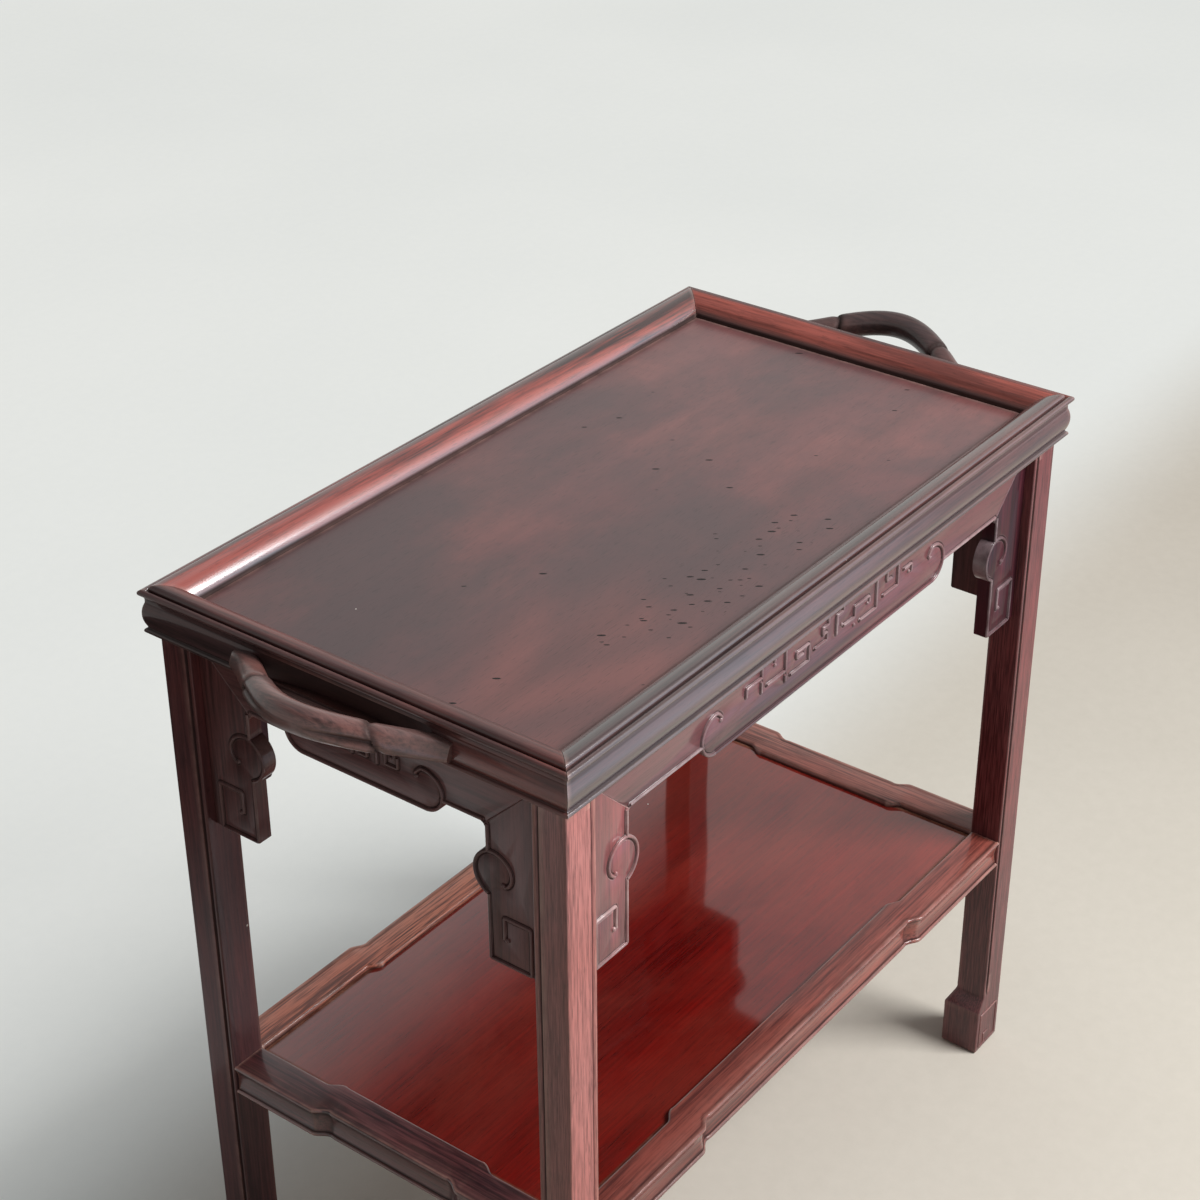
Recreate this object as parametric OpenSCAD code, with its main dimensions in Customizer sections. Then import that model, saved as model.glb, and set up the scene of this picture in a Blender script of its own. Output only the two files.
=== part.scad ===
// A two-tier drinks table in dark carved hardwood. The top is a tray with a moulded rim and a carved
// handle at each end. Under it hang aprons with a carved fret, mitred to scrolled spandrels. Four square
// legs on block feet carry a lower shelf whose rails step inwards through small ogees.
// Lengths are in mm. X runs along the table, Y across it and Z up, and the feet stand on Z = 0.

/* [Table] */
// length over the tray rim, without the handles
table_l = 700; // [660:10:800]
// width over the tray rim
table_w = 400; // [360:10:480]
// height to the top of the rim
table_h = 700; // [620:10:780]

/* [Tray rim] */
// height of the rim rails
rim_h = 40; // [38:1:46]
// width of the rim seen from above, from its outer edge to the panel
rim_w = 31; // [29:1:36]
// lip that carries the panel from below
rim_lip = 15; // [12:1:20]
// distance from the top of the rim down to the panel
panel_sink = 16; // [12:0.5:18]
// thickness of the tray panel
panel_t = 10; // [8:0.5:11]
// distance from the outer edge to the top of the rim
ridge_in = 9.5; // [8.5:0.5:11]
// radius of the rounded ridge where it falls to the outer bead
ridge_r = 3.5; // [3:0.25:4]
// radius of the bead along the top edge
edge_bead_r = 2.6; // [2:0.1:3]
// distance from the top of the rim down to that bead
edge_bead_drop = 2.8; // [2:0.1:3.5]
// distance from the outer edge in to the plain wall between the mouldings
wall_in = 3.6; // [3:0.1:4.5]
// height of the swelling on the outer face
swell_h = 20; // [17:0.5:21]
// distance that the swelling stands out from the plain wall
swell_out = 2.2; // [1.2:0.1:3]
// height of the middle of the swelling above the bottom of the rim
swell_mid = 16.5; // [15.5:0.5:17]
// radius of the bead along the bottom edge
low_bead_r = 2; // [1.5:0.1:2.4]
// distance from the outer edge in to that bead
low_bead_in = 1.6; // [1.2:0.1:1.8]
// height of that bead above the rim's underside
low_bead_up = 0.5; // [0.3:0.1:0.8]

/* [Handles] */
// length of each handle
handle_l = 200; // [190:2:224]
// distance from the rim's outer edge to the middle of the bar
handle_reach = 48; // [42:1:56]
// distance that the bar climbs from its ends to its middle
handle_rise = 17; // [10:1:22]
// height of the handle's ends above the bottom of the rim
handle_seat = 14.5; // [13:0.5:16]
// length of the thick bar between the cuffs
bar_l = 108; // [90:2:120]
// half thickness of the bar
bar_r = 10.8; // [9:0.2:12]
// half thickness of the cuffs where the bar steps down to them
cuff_r = 9.2; // [8:0.2:9.8]
// half thickness of the cuffs at their ends
cuff_end_r = 7; // [6.5:0.1:7.6]
// distance that the cuffs bend back into the rim at their ends
cuff_sink = 4; // [2:0.5:5]
// depth of the grooves carved along the bar's outer side
bar_groove = 2.4; // [1:0.1:3]
// length of the finger recess behind each handle
recess_l = 172; // [150:2:176]
// depth of the finger recess
recess_d = 12; // [8:0.5:14]
// height of the finger recess
recess_h = 20.5; // [16:0.5:22]
// radius of the round tenons on the handle's ends
peg_r = 3.5; // [3:0.25:4]
// length of the round tenons inside the rim
peg_l = 12; // [10:1:14]
// distance from the handle's ends to the round tenons
peg_end = 8; // [7:0.5:9]

/* [Legs] */
// leg along the table
leg_w = 33; // [31:0.5:36]
// leg across the table
leg_d = 30; // [29:0.5:36]
// distance from the rim's outer edge in to the leg
leg_in = 9.5; // [8:0.5:12]
// width of the bead along the inner edge of each outer face
leg_bead = 3.2; // [2.6:0.1:4]
// width of the groove beside that bead
leg_groove = 3; // [2:0.1:4]
// rounding of that bead
leg_bead_r = 1.3; // [1:0.1:1.6]
// rounding of the leg's outer corner
leg_round = 1.8; // [1:0.1:2.5]
// height of the block foot
foot_h = 50; // [44:1:60]
// height of the sloped shoulder above the block
foot_shoulder = 15; // [10:1:20]
// distance that the foot widens towards the inside
foot_flare = 8; // [5:0.5:10]
// rounding of the foot's bottom edges
foot_round = 2.5; // [1.5:0.25:3.5]
// margin around the carved rectangle on the foot
foot_margin = 4.5; // [4:0.5:6]
// width of the carved line of that rectangle
foot_line = 2; // [1.6:0.1:2.6]
// depth of that line
foot_line_d = 1; // [0.6:0.1:1.4]

/* [Aprons and spandrels] */
// distance that the boards are set back from the legs' faces
board_in = 8.5; // [6:0.5:10]
// thickness of the boards
board_t = 12; // [10:0.5:14]
// height of an apron beside the legs
apron_h = 46.5; // [42:0.5:50]
// height of an apron over its middle drop
drop_h = 60; // [56:0.5:66]
// radius of the scroll at each end of the drop
scroll_r = 18; // [16.5:0.5:19]
// plain stretch of a long apron between leg and scroll
plain_long = 136; // [120:1:150]
// plain stretch of a short apron between leg and scroll
plain_short = 85; // [78:1:90]
// width of a spandrel from the leg to its free edge
spandrel_w = 47.5; // [44:0.5:52]
// length of a spandrel below the rim
spandrel_h = 165.5; // [155:0.5:180]
// radius of the spandrel's scroll
bulge_r = 21.5; // [20:0.5:22.5]
// distance from the leg to the middle of that scroll
bulge_x = 38.5; // [37:0.5:41]
// depth of the middle of that scroll below the rim
bulge_y = 89; // [84:0.5:94]
// distance from the leg to the square spiral at the bottom of a spandrel
key_in = 9; // [7:0.5:12]
// height of the square spiral
key_h = 41; // [36:0.5:46]
// width of the square spiral
key_w = 24; // [20:0.5:27]
// length of the spiral's tail
key_tail = 19; // [14:0.5:24]
// rounding where an apron's edge turns into a spandrel's
corner_fill = 2.2; // [1:0.1:3]
// distance from a long apron's scrolls to its fret
fret_gap_long = 35; // [28:0.5:45]
// distance from a short apron's scrolls to its fret
fret_gap_short = 24; // [21:0.5:28]
// width of the raised lines
line_w = 2.6; // [2:0.1:3]
// height of the raised lines above the boards
line_h = 1; // [0.6:0.1:1.4]
// radius of the small balls that end the scrolls
ball_r = 2; // [1.6:0.1:2.4]
// width of the fret's lines
fret_line = 2.1; // [1.6:0.1:2.4]
// radius of the fret's dots
fret_dot_r = 1.6; // [1.2:0.1:2]

/* [Shelf] */
// height of the shelf rails' top above the floor
shelf_z = 252; // [220:2:290]
// height of the shelf rails
shelf_h = 28.5; // [27:0.5:34]
// distance from the rails' top down to the shelf panel
shelf_sink = 5; // [4:0.5:7]
// thickness of the shelf panel
shelf_panel_t = 9; // [7:0.5:10]
// distance that the rails step inwards between the ogees
ogee_step = 6.5; // [4:0.5:9]
// length of an ogee along the rail
ogee_l = 13; // [10:1:20]
// distance from the leg to the outer ogee on the long rails
ogee_long = 145; // [120:5:150]
// distance from the leg to the outer ogee on the short rails
ogee_short = 90; // [70:5:100]
// distance that the ogee on a rail's inner edge lies nearer the leg
ogee_lag = 10; // [6:1:14]
// rounding of the rails' top inner edge
rail_round = 3; // [2:0.25:3.5]
// radius of the bead along the rails' top outer edge
rail_bead = 1.6; // [1:0.1:1.8]
// radius of the bead along the rails' bottom outer edge
rail_low_bead = 2; // [1.4:0.1:2.4]
// distance from the rails' outer edge in to that bead
rail_low_in = 0.2; // [0.1:0.1:0.6]
// height of that bead above the rails' underside
rail_low_up = 0.4; // [0.2:0.1:0.8]
// depth of the hollow between those beads
rail_hollow = 2; // [1:0.1:3]

/* [Joints] */
// clearance between a tenon or tongue and its slot
fit = 0.2; // [0.1:0.05:0.4]
// side of the legs' top tenons
tenon_t = 9; // [7:0.5:9]
// height of the legs' top tenons
tenon_h = 16; // [12:1:17]
// distance from a leg's outer face to its top tenons
tenon_in = 4; // [3:0.5:5]
// distance from a leg's inner face to its top tenons
tenon_back = 3; // [2:0.5:4]
// thickness of the tongues on panels and boards
tongue_t = 5; // [4:0.25:5.5]
// length of the tongues
tongue_l = 6; // [4:0.5:6.5]
// height of the tongue along the top of an apron
apron_tongue = 4; // [3:0.5:4.5]
// distance that the boards' tongues stop short of the corners
tongue_stop = 8; // [6:1:12]
// distance from the outer edge to the tenons between the rim rails
rim_tie_in = 14.5; // [13:0.5:15]
// width of the tenons between the rim rails
rim_tie_w = 9.5; // [7:0.5:10]
// height of the tenons between the rim rails
rim_tie_h = 7; // [5:0.5:8]
// wall that a long rim rail keeps in front of those tenons
rim_tie_wall = 7; // [6.5:0.5:9]
// distance of those tenons above the legs' tenons
rim_tie_up = 5; // [4.5:0.5:6]
// thickness of the tenons on the shelf rails
tie_t = 9; // [7:0.5:9]
// length of the tenons on the shelf rails
tie_l = 10; // [8:0.5:10]
// height of the tenons on the shelf rails
tie_v = 8; // [6:0.5:9]
// distance from the outer face to the tenons on the shelf rails
tie_in = 10; // [9:0.5:10]
// distance from the shelf rails' underside to their tenons
tie_up = 4; // [3:0.5:5]
// distance of the battens under the panels from the middle
batten_x = 120; // [90:5:130]
// width of a batten
batten_w = 30; // [24:1:40]
// height of a batten under its panel
batten_h = 12; // [10:0.5:13]
// height of the dovetail key that holds a batten to its panel
dove_h = 4; // [3:0.5:4.5]
// width of that key at its root
dove_w = 12; // [9:0.5:15]
// distance that the key spreads on each side
dove_flare = 1.5; // [1:0.25:2]
// length of the tenons on the battens
batten_l = 7; // [5:0.5:8]
// shoulder all round those tenons
batten_shoulder = 3; // [2:0.5:4]

/* [Hidden] */
$fn = 64;
eps = 0.3;
// the rim's solid middle stops this far below its top bead
core_drop = 1.8;
rim_z = table_h - rim_h;
rim_in = rim_w + rim_lip;
panel_v = rim_h - panel_sink;
lip_v = panel_v - panel_t;
// the rim's inner slope is one arc from the ridge down to the panel
slope_a = rim_w - ridge_in;
slope_r = (slope_a * slope_a + panel_sink * panel_sink) / (2 * panel_sink);
core_v = rim_h - edge_bead_drop - core_drop;
swell_r = (swell_h * swell_h / 4 + swell_out * swell_out) / (2 * swell_out);
// clear spans between the legs
span_l = table_l - 2 * (leg_in + leg_w);
span_w = table_w - 2 * (leg_in + leg_d);
board_face = leg_in + board_in;
tongue_in = board_in + (board_t - tongue_t) / 2;
peg_x = handle_l / 2 - peg_end;
// the handle's section has this many corners
handle_n = 24;
handle_squareness = 2.4;
// the arch that the bar follows would run out this far past the handle's ends
arch_past = 15;
arch_l = handle_l / 2 + arch_past;
scroll_d = drop_h - scroll_r;
scroll_join = -asin((apron_h - scroll_d) / scroll_r);
groove_v = shelf_h - shelf_sink - shelf_panel_t;
chamfer = 1.2;
red = [0.36, 0.13, 0.11];
deep = [0.27, 0.08, 0.07];
dark = [0.22, 0.11, 0.10];
pale = [0.48, 0.25, 0.22];

// points on an arc from angle a to angle b
function arc(c, r, a, b, n) = [for (i = [0:n]) c + r * [cos(a + (b - a) * i / n), sin(a + (b - a) * i / n)]];
// points between p and q that bow to the left by s in the middle
function bow(p, q, s, n) = [for (i = [1:n - 1]) let (t = i / n) p + (q - p) * t + turn(unit(q - p)) * s * 4 * t * (1 - t)];
function unit(v) = v / norm(v);
function turn(v) = [-v[1], v[0]];
function flip(p) = [for (i = [len(p) - 1:-1:0]) [-p[i][0], p[i][1]]];
function along(p, i) = unit(p[min(i, len(p) - 2) + 1] - p[min(i, len(p) - 2)]);
function heading(p, i) = i == 0 ? along(p, 0) : unit(along(p, i - 1) + along(p, i));
function beside(p, i, s) = p[i] + turn(heading(p, i)) * s / max(0.5, heading(p, i) * along(p, i));
// the outline of a line of width w drawn along the points p
function ribbon(p, w) = concat(
    [for (i = [0:len(p) - 1]) beside(p, i, w / 2)],
    [for (i = [len(p) - 1:-1:0]) beside(p, i, -w / 2)]);
function ease(t) = t <= 0 ? 0 : t >= 1 ? 1 : (1 - cos(180 * t)) / 2;

// the four sides: each is drawn as the front one and turned or mirrored to its place
module at_left() rotate([0, 0, -90]) children();
module at_right() mirror([1, 0, 0]) at_left() children();
module at_back() mirror([0, 1, 0]) children();
// the four corners: each is drawn as the front left one
module to_right() mirror([1, 0, 0]) children();

// faces of a closed skin over rings of m points each, n rings
function skin(n, m) = concat(
    [[for (k = [0:m - 1]) k]],
    [[for (k = [m - 1:-1:0]) (n - 1) * m + k]],
    [for (i = [0:n - 2]) for (k = [0:m - 1]) [i * m + k, (i + 1) * m + k, (i + 1) * m + (k + 1) % m]],
    [for (i = [0:n - 2]) for (k = [0:m - 1]) [i * m + k, (i + 1) * m + (k + 1) % m, i * m + (k + 1) % m]]);

// section of the tray rim, from its outer edge inwards and from its bottom upwards
module rim_section() {
    polygon([[wall_in + chamfer, 0], [rim_in, 0], [rim_in, lip_v],
        [rim_w - tongue_l - fit, lip_v], [rim_w - tongue_l - fit, lip_v + tongue_t + fit],
        [rim_w, lip_v + tongue_t + fit], [rim_w, panel_v], [ridge_in, panel_v],
        [ridge_in, core_v], [wall_in, core_v], [wall_in, chamfer]]);
    // the slope that falls to the panel
    intersection() {
        translate([ridge_in, rim_h - slope_r]) circle(slope_r);
        translate([ridge_in, panel_v - 1]) square([slope_a, panel_sink + 2]);
    }
    translate([ridge_in, rim_h - ridge_r]) circle(ridge_r);
    translate([edge_bead_r, rim_h - edge_bead_drop - edge_bead_r]) circle(edge_bead_r);
    intersection() {
        translate([wall_in - swell_out + swell_r, swell_mid]) circle(swell_r);
        translate([0, swell_mid - swell_h / 2 - 1]) square([wall_in + 1, swell_h + 2]);
    }
    translate([low_bead_r + low_bead_in, low_bead_r + low_bead_up]) circle(low_bead_r);
}

// a bar with the rim's section, running along X at the front, with its outer edge at -reach
module rim_bar(run, reach) {
    translate([-run / 2, -reach, rim_z]) rotate([90, 0, 90]) linear_extrude(run) rim_section();
}

// a rim rail: the bar cut to mitres, with the groove for the apron's tongue and the legs' mortises
module rim_rail(run, reach, span, mortise_x) {
    difference() {
        intersection() {
            rim_bar(run, reach);
            translate([0, 0, rim_z - 1]) linear_extrude(rim_h + 2)
                polygon([[-run / 2 - 1, -reach - 1], [run / 2 + 1, -reach - 1],
                    [run / 2 - rim_in - 1, -reach + rim_in + 1], [-run / 2 + rim_in + 1, -reach + rim_in + 1]]);
        }
        translate([-span / 2 + tongue_stop - fit, -reach + leg_in + tongue_in - fit, rim_z - 1])
            cube([span - 2 * tongue_stop + 2 * fit, tongue_t + 2 * fit, 1 + apron_tongue + fit]);
        for (s = [-1, 1])
            translate([s * (run / 2 - leg_in - mortise_x) - tenon_t / 2 - fit,
                -reach + leg_in + tenon_in - fit, rim_z - 1])
                cube([tenon_t + 2 * fit, tenon_t + 2 * fit, 1 + tenon_h + fit]);
    }
}

// the tenon of a short rim rail inside a long one, drawn at the front left corner, grown by g
module rim_tie(g) {
    translate([-table_l / 2 + rim_tie_in - g, -table_w / 2 + rim_tie_wall - g, rim_z + tenon_h + rim_tie_up - g])
        cube([rim_tie_w + 2 * g, rim_tie_in + rim_tie_w + tongue_l - rim_tie_wall + 2 * g, rim_tie_h + 2 * g]);
}

module long_rail() {
    difference() {
        rim_rail(table_l, table_w / 2, span_l, leg_w - tenon_t / 2 - tenon_back);
        rim_tie(fit);
        to_right() rim_tie(fit);
        for (s = [-1, 1]) batten_tenon(s * batten_x, table_w / 2 - rim_in, rim_z + lip_v, fit);
    }
}

module short_rail() {
    difference() {
        union() {
            rim_rail(table_w, table_l / 2, span_w, leg_d - tenon_t / 2 - tenon_back);
            rotate([0, 0, 90]) {
                rim_tie(0);
                at_back() rim_tie(0);
            }
        }
        finger_recess();
        for (s = [-1, 1])
            translate([s * peg_x, -table_l / 2 - 1, rim_z + handle_seat])
                rotate([-90, 0, 0]) cylinder(r = peg_r + fit, h = peg_l + 1 + fit);
    }
}

// hollow in the outer face of a short rail, for the fingers: a shallow curve that runs out at both ends
module finger_recess() {
    translate([0, -table_l / 2, rim_z + swell_mid - recess_h / 2]) linear_extrude(recess_h)
        polygon([for (i = [-12:12]) let (t = i / 12) [t * recess_l / 2, abs(i) == 12 ? -1 : recess_d * (1 - t * t)]]);
}

// the handle's middle line climbs and swings out together, as a squared cosine along its length
function arch(x) = pow(cos(90 * x / arch_l), 2);
function arch_slope(x) = -sin(180 * x / arch_l) * PI / 2 / arch_l;
// the cuffs leave the arch and bend back towards the rim
function sink_at(x) = cuff_sink * ease((abs(x) - bar_l / 2) / (handle_l / 2 - bar_l / 2));
// the bar ends in a rounded shoulder and the cuffs narrow towards their ends
shoulder = 3;
// share of its thickness that the bar loses from its middle to its shoulders
bar_taper = 0.04;
function bar_radius(x) = let (a = abs(x), h = bar_l / 2, s = (a - h) / (handle_l / 2 - h))
    a < h - shoulder ? bar_r * (1 - bar_taper * pow(a / h, 2))
    : a < h ? cuff_r + (bar_r * (1 - bar_taper) - cuff_r) * sqrt(1 - pow((a - h + shoulder) / shoulder, 2))
    : cuff_end_r + (cuff_r - cuff_end_r) * (1 - s * s);
// the groove starts near the middle of the bar and deepens towards the shoulders, between two low lips
groove_from = 0.15;
groove_full = 0.85;
groove_lip = 0.2;
function groove_at(x, k) = abs(x) > bar_l / 2 ? 0
    : bar_groove * ease((abs(x) * 2 / bar_l - groove_from) / (groove_full - groove_from))
    * (k == 1 ? 1 : k == 0 || k == 2 ? -groove_lip : 0);
// a section between a circle and a rounded square
function squarish(a) = 1 / pow(pow(abs(cos(a)), handle_squareness) + pow(abs(sin(a)), handle_squareness),
    1 / handle_squareness);
function handle_ring(x) = let (
    o = [0, -handle_reach, handle_rise],
    lean = unit(o),
    t = unit([1, 0, 0] + o * arch_slope(x)),
    n = -(t * lean) * [1, 0, 0] + t[0] * lean,
    b = cross([1, 0, 0], lean))
    [for (k = [0:handle_n - 1]) let (a = 360 * k / handle_n, r = bar_radius(x) * squarish(a) - groove_at(x, k))
        [x, -table_l / 2 + sink_at(x), rim_z + handle_seat] + o * arch(x) + r * (cos(a) * n + sin(a) * b)];
handle_half = concat([for (i = [0:9]) i * (bar_l / 2 - shoulder) / 9],
    [for (f = [0.5, 0.85, 1]) bar_l / 2 - shoulder + shoulder * f],
    [for (i = [1:8]) bar_l / 2 + i * (handle_l / 2 - bar_l / 2) / 8]);
handle_x = concat([for (i = [len(handle_half) - 1:-1:1]) -handle_half[i]], handle_half);

module handle() {
    difference() {
        polyhedron([for (x = handle_x) each handle_ring(x)], skin(len(handle_x), handle_n));
        rim_bar(table_w, table_l / 2);
    }
    for (s = [-1, 1])
        translate([s * peg_x, -table_l / 2, rim_z + handle_seat])
            rotate([-90, 0, 0]) cylinder(r = peg_r, h = peg_l);
}

// a panel with a tongue all round its lower edge and slots for the battens' dovetail keys
module panel(l, w, t, z) {
    difference() {
        union() {
            translate([-l / 2 + fit, -w / 2 + fit, z]) cube([l - 2 * fit, w - 2 * fit, t]);
            translate([-l / 2 - tongue_l, -w / 2 - tongue_l, z])
                cube([l + 2 * tongue_l, w + 2 * tongue_l, min(t, tongue_t)]);
        }
        for (s = [-1, 1]) batten_key(s * batten_x, w + 4 * tongue_l, z, fit);
    }
}

module top_panel() {
    panel(table_l - 2 * rim_w, table_w - 2 * rim_w, panel_t, rim_z + lip_v);
}

module batten_key(x, l, z, g) {
    root = dove_w / 2 + g;
    translate([x, l / 2, z]) rotate([90, 0, 0]) linear_extrude(l)
        polygon([[-root, -eps], [root, -eps], [root, 0], [root + dove_flare, dove_h + g],
            [-root - dove_flare, dove_h + g], [-root, 0]]);
}

// both end tenons of a batten whose shoulders are at half from the middle, under the level z
module batten_tenon(x, half, z, g) {
    translate([x - batten_w / 2 + batten_shoulder - g, -half - batten_l - g, z - batten_h + batten_shoulder - g])
        cube([batten_w - 2 * batten_shoulder + 2 * g, 2 * (half + batten_l + g), batten_h - 2 * batten_shoulder + 2 * g]);
}

module batten(x, half, z) {
    translate([x - batten_w / 2, -half, z - batten_h]) cube([batten_w, 2 * half, batten_h]);
    batten_tenon(x, half, z, 0);
    batten_key(x, 2 * half, z, 0);
}

// the point where an apron, a spandrel and the open space meet, with the corner filled a little
mitre_end = [spandrel_w + corner_fill, -apron_h * (1 + corner_fill / spandrel_w)];
fill_l = 2.5 * corner_fill;

// outline of half an apron between legs that stand span apart, with its scroll drop from the middle
function apron_drop(span, plain) = span / 2 - plain - scroll_r * cos(scroll_join);
function apron_edge(span, drop) = concat([[span / 2, 0], [span / 2 - mitre_end[0], mitre_end[1]],
    [span / 2 - mitre_end[0] - corner_fill, -apron_h - corner_fill / 3],
    [span / 2 - spandrel_w - fill_l, -apron_h]], arc([drop, -scroll_d], scroll_r, scroll_join, -90, 10));
// a scroll's raised line starts at one angle, winds in from another and ends at a third, in degrees
scroll_start = -90;
scroll_tight = 95;
scroll_end = 126;
// a scroll's line comes nearer its middle by this much for each degree
scroll_wind = 0.12;
function winding(c, r, a, tight, wind) = c + (r - line_w / 2 - wind * max(0, a - tight)) * [cos(a), sin(a)];
function scroll_line(drop) = [for (i = [0:24])
    winding([drop, -scroll_d], scroll_r, scroll_start + i * (scroll_end - scroll_start) / 24, scroll_tight, scroll_wind)];
// the ball that ends a scroll lies against the inner side of its line
function ball_at(c, line) = c + (line[len(line) - 1] - c) * (1 - ball_r / norm(line[len(line) - 1] - c));

// raised fret: each path is one stroke, as distances from the middle and below the rim
fret_long = [[[-115, 31], [-115, 24], [-95, 24], [-95, 13], [-78, 13], [-78, 18]], [[-95, 28], [-95, 37]],
    [[-88, 34], [-63, 34], [-63, 12]], [[-63, 38], [-63, 43]],
    [[-56, 41], [-31, 41], [-31, 26], [-48, 26], [-48, 31], [-39, 31]],
    [[-23, 35], [-6, 35], [-6, 28], [-12, 28], [-12, 22], [-4, 22], [-4, 13]], [[17, 13], [17, 20], [8, 20], [8, 37]],
    [[18, 34], [34, 34], [34, 25], [55, 25], [55, 30]], [[42, 41], [66, 41], [66, 13]],
    [[76, 35], [98, 35], [98, 13]], [[81, 13], [81, 24], [88, 24]], [[107, 25], [119, 25], [119, 31]]];
dots_long = [[-78, 21.5], [15, 31.5], [33, 40.5], [52, 30], [114, 30]];
fret_short = [[[-33, 26], [-33, 35], [-16, 35]], [[-24, 29], [-24, 21], [-10, 21]],
    [[-9, 38], [-9, 28], [5, 28], [5, 36], [-2, 36]], [[5, 20], [14, 20], [14, 38]], [[22, 20], [22, 35], [33, 35], [33, 26]]];
dots_short = [[-16, 28], [27, 28]];

module apron_lines(span, drop, fret, dots, fret_gap) {
    // the fret is drawn to its own length and fitted between the scrolls
    reach = max([for (f = fret) for (q = f) q[0]]);
    grow = (drop - fret_gap) / reach;
    path = scroll_line(drop);
    polygon(ribbon(concat(flip(path), path), line_w));
    for (s = [-1, 1]) {
        polygon(ribbon([[s * (span / 2 - spandrel_w - corner_fill), -apron_h + line_w / 2],
            [s * (drop + scroll_r - line_w), -apron_h + line_w / 2]], line_w));
        mirror([s > 0 ? 0 : 1, 0]) translate(ball_at([drop, -scroll_d], path)) circle(ball_r);
    }
    for (f = fret) polygon(ribbon([for (q = f) [q[0] * grow, -q[1]]], fret_line));
    for (d = dots) translate([d[0] * grow, -d[1]]) circle(fret_dot_r);
}

// draws a flat shape on the front side: the outline as a board and the lines raised on its face
module board(reach) {
    translate([0, -reach + board_face, rim_z]) rotate([90, 0, 0]) {
        translate([0, 0, -board_t]) linear_extrude(board_t) children(0);
        translate([0, 0, -eps]) linear_extrude(line_h + eps) children(1);
    }
}

module apron(span, reach, plain, fret, dots, fret_gap) {
    drop = apron_drop(span, plain);
    edge = apron_edge(span, drop);
    board(reach) {
        polygon(concat(flip(edge), edge));
        intersection() {
            polygon(concat(flip(edge), edge));
            apron_lines(span, drop, fret, dots, fret_gap);
        }
    }
    translate([-span / 2 + tongue_stop, -reach + leg_in + tongue_in, rim_z - eps])
        cube([span - 2 * tongue_stop, tongue_t, apron_tongue + eps]);
}

// outline of a spandrel: mitre, free edge, scroll, free edge, bottom
bulge_a = acos((spandrel_w - bulge_x) / bulge_r);
spandrel_edge = concat([[0, 0], mitre_end, [spandrel_w + corner_fill / 3, mitre_end[1] - corner_fill],
    [spandrel_w, -apron_h - fill_l]],
    arc([bulge_x, -bulge_y], bulge_r, bulge_a, -bulge_a, 16),
    [[spandrel_w, -spandrel_h + chamfer], [spandrel_w - chamfer, -spandrel_h], [0, -spandrel_h]]);
// the scroll's raised line runs round the edge, over the top and down inside, and winds in there
bulge_tight = 70;
bulge_end = 225;
bulge_wind = 0.066;
bulge_line = [for (i = [0:30])
    winding([bulge_x, -bulge_y], bulge_r, -bulge_a + i * (bulge_end + bulge_a) / 30, bulge_tight, bulge_wind)];
key_x = spandrel_w - line_w / 2;
key_y = -spandrel_h + line_w / 2;

module spandrel_lines() {
    polygon(ribbon(bulge_line, line_w));
    polygon(ribbon([[key_x, -apron_h], [key_x, -bulge_y + bulge_r * sin(bulge_a) - line_w]], line_w));
    polygon(ribbon([[key_x, -bulge_y - bulge_r * sin(bulge_a) + line_w], [key_x, key_y], [key_in, key_y],
        [key_in, key_y + key_h], [key_in + key_w, key_y + key_h], [key_in + key_w, key_y + key_h - key_tail]], line_w));
    translate(ball_at([bulge_x, -bulge_y], bulge_line)) circle(ball_r);
    translate([key_in + key_w - line_w, key_y + key_h - key_tail]) circle(ball_r);
}

// a spandrel beside the front left leg, on the front side
module spandrel(span, reach) {
    translate([-span / 2, 0, 0]) {
        board(reach) {
            polygon(spandrel_edge);
            intersection() {
                polygon(spandrel_edge);
                spandrel_lines();
            }
        }
        translate([-tongue_l + 1, -reach + leg_in + tongue_in, rim_z - spandrel_h + tongue_stop])
            cube([tongue_l, tongue_t, spandrel_h - 2 * tongue_stop]);
    }
}

// leg section with its outer corner at the origin
module leg_section() {
    difference() {
        square([leg_w, leg_d]);
        translate([leg_w - leg_bead - leg_groove / 2, 0]) circle(leg_groove / 2);
        translate([0, leg_d - leg_bead - leg_groove / 2]) circle(leg_groove / 2);
        corner_cut(leg_round);
        translate([leg_w, 0]) mirror([1, 0]) corner_cut(leg_bead_r);
        translate([0, leg_d]) mirror([0, 1]) corner_cut(leg_bead_r);
    }
}

module corner_cut(r) {
    difference() {
        translate([-1, -1]) square([r + 1, r + 1]);
        translate([r, r]) circle(r);
    }
}

// side view of the foot: a block with rounded bottom edges and a shoulder on its inner side
module foot_side(w) {
    polygon(concat(arc([foot_round, foot_round], foot_round, 180, 270, 5),
        arc([w + foot_flare - foot_round, foot_round], foot_round, 270, 360, 5),
        [[w + foot_flare, foot_h], [w, foot_h + foot_shoulder], [0, foot_h + foot_shoulder]]));
}

// carved rectangle, as a groove around a plain field
module foot_frame(w) {
    translate([foot_margin, foot_margin]) difference() {
        square([w + foot_flare - 2 * foot_margin, foot_h - 2 * foot_margin]);
        translate([foot_line, foot_line])
            square([w + foot_flare - 2 * foot_margin - 2 * foot_line, foot_h - 2 * foot_margin - 2 * foot_line]);
    }
}

module foot() {
    difference() {
        intersection() {
            translate([0, leg_d + foot_flare, 0]) rotate([90, 0, 0]) linear_extrude(leg_d + foot_flare) foot_side(leg_w);
            rotate([90, 0, 90]) linear_extrude(leg_w + foot_flare) foot_side(leg_d);
        }
        translate([0, foot_line_d, 0]) rotate([90, 0, 0]) linear_extrude(foot_line_d + 1) foot_frame(leg_w);
        translate([-1, 0, 0]) rotate([90, 0, 90]) linear_extrude(foot_line_d + 1) foot_frame(leg_d);
    }
}

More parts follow.
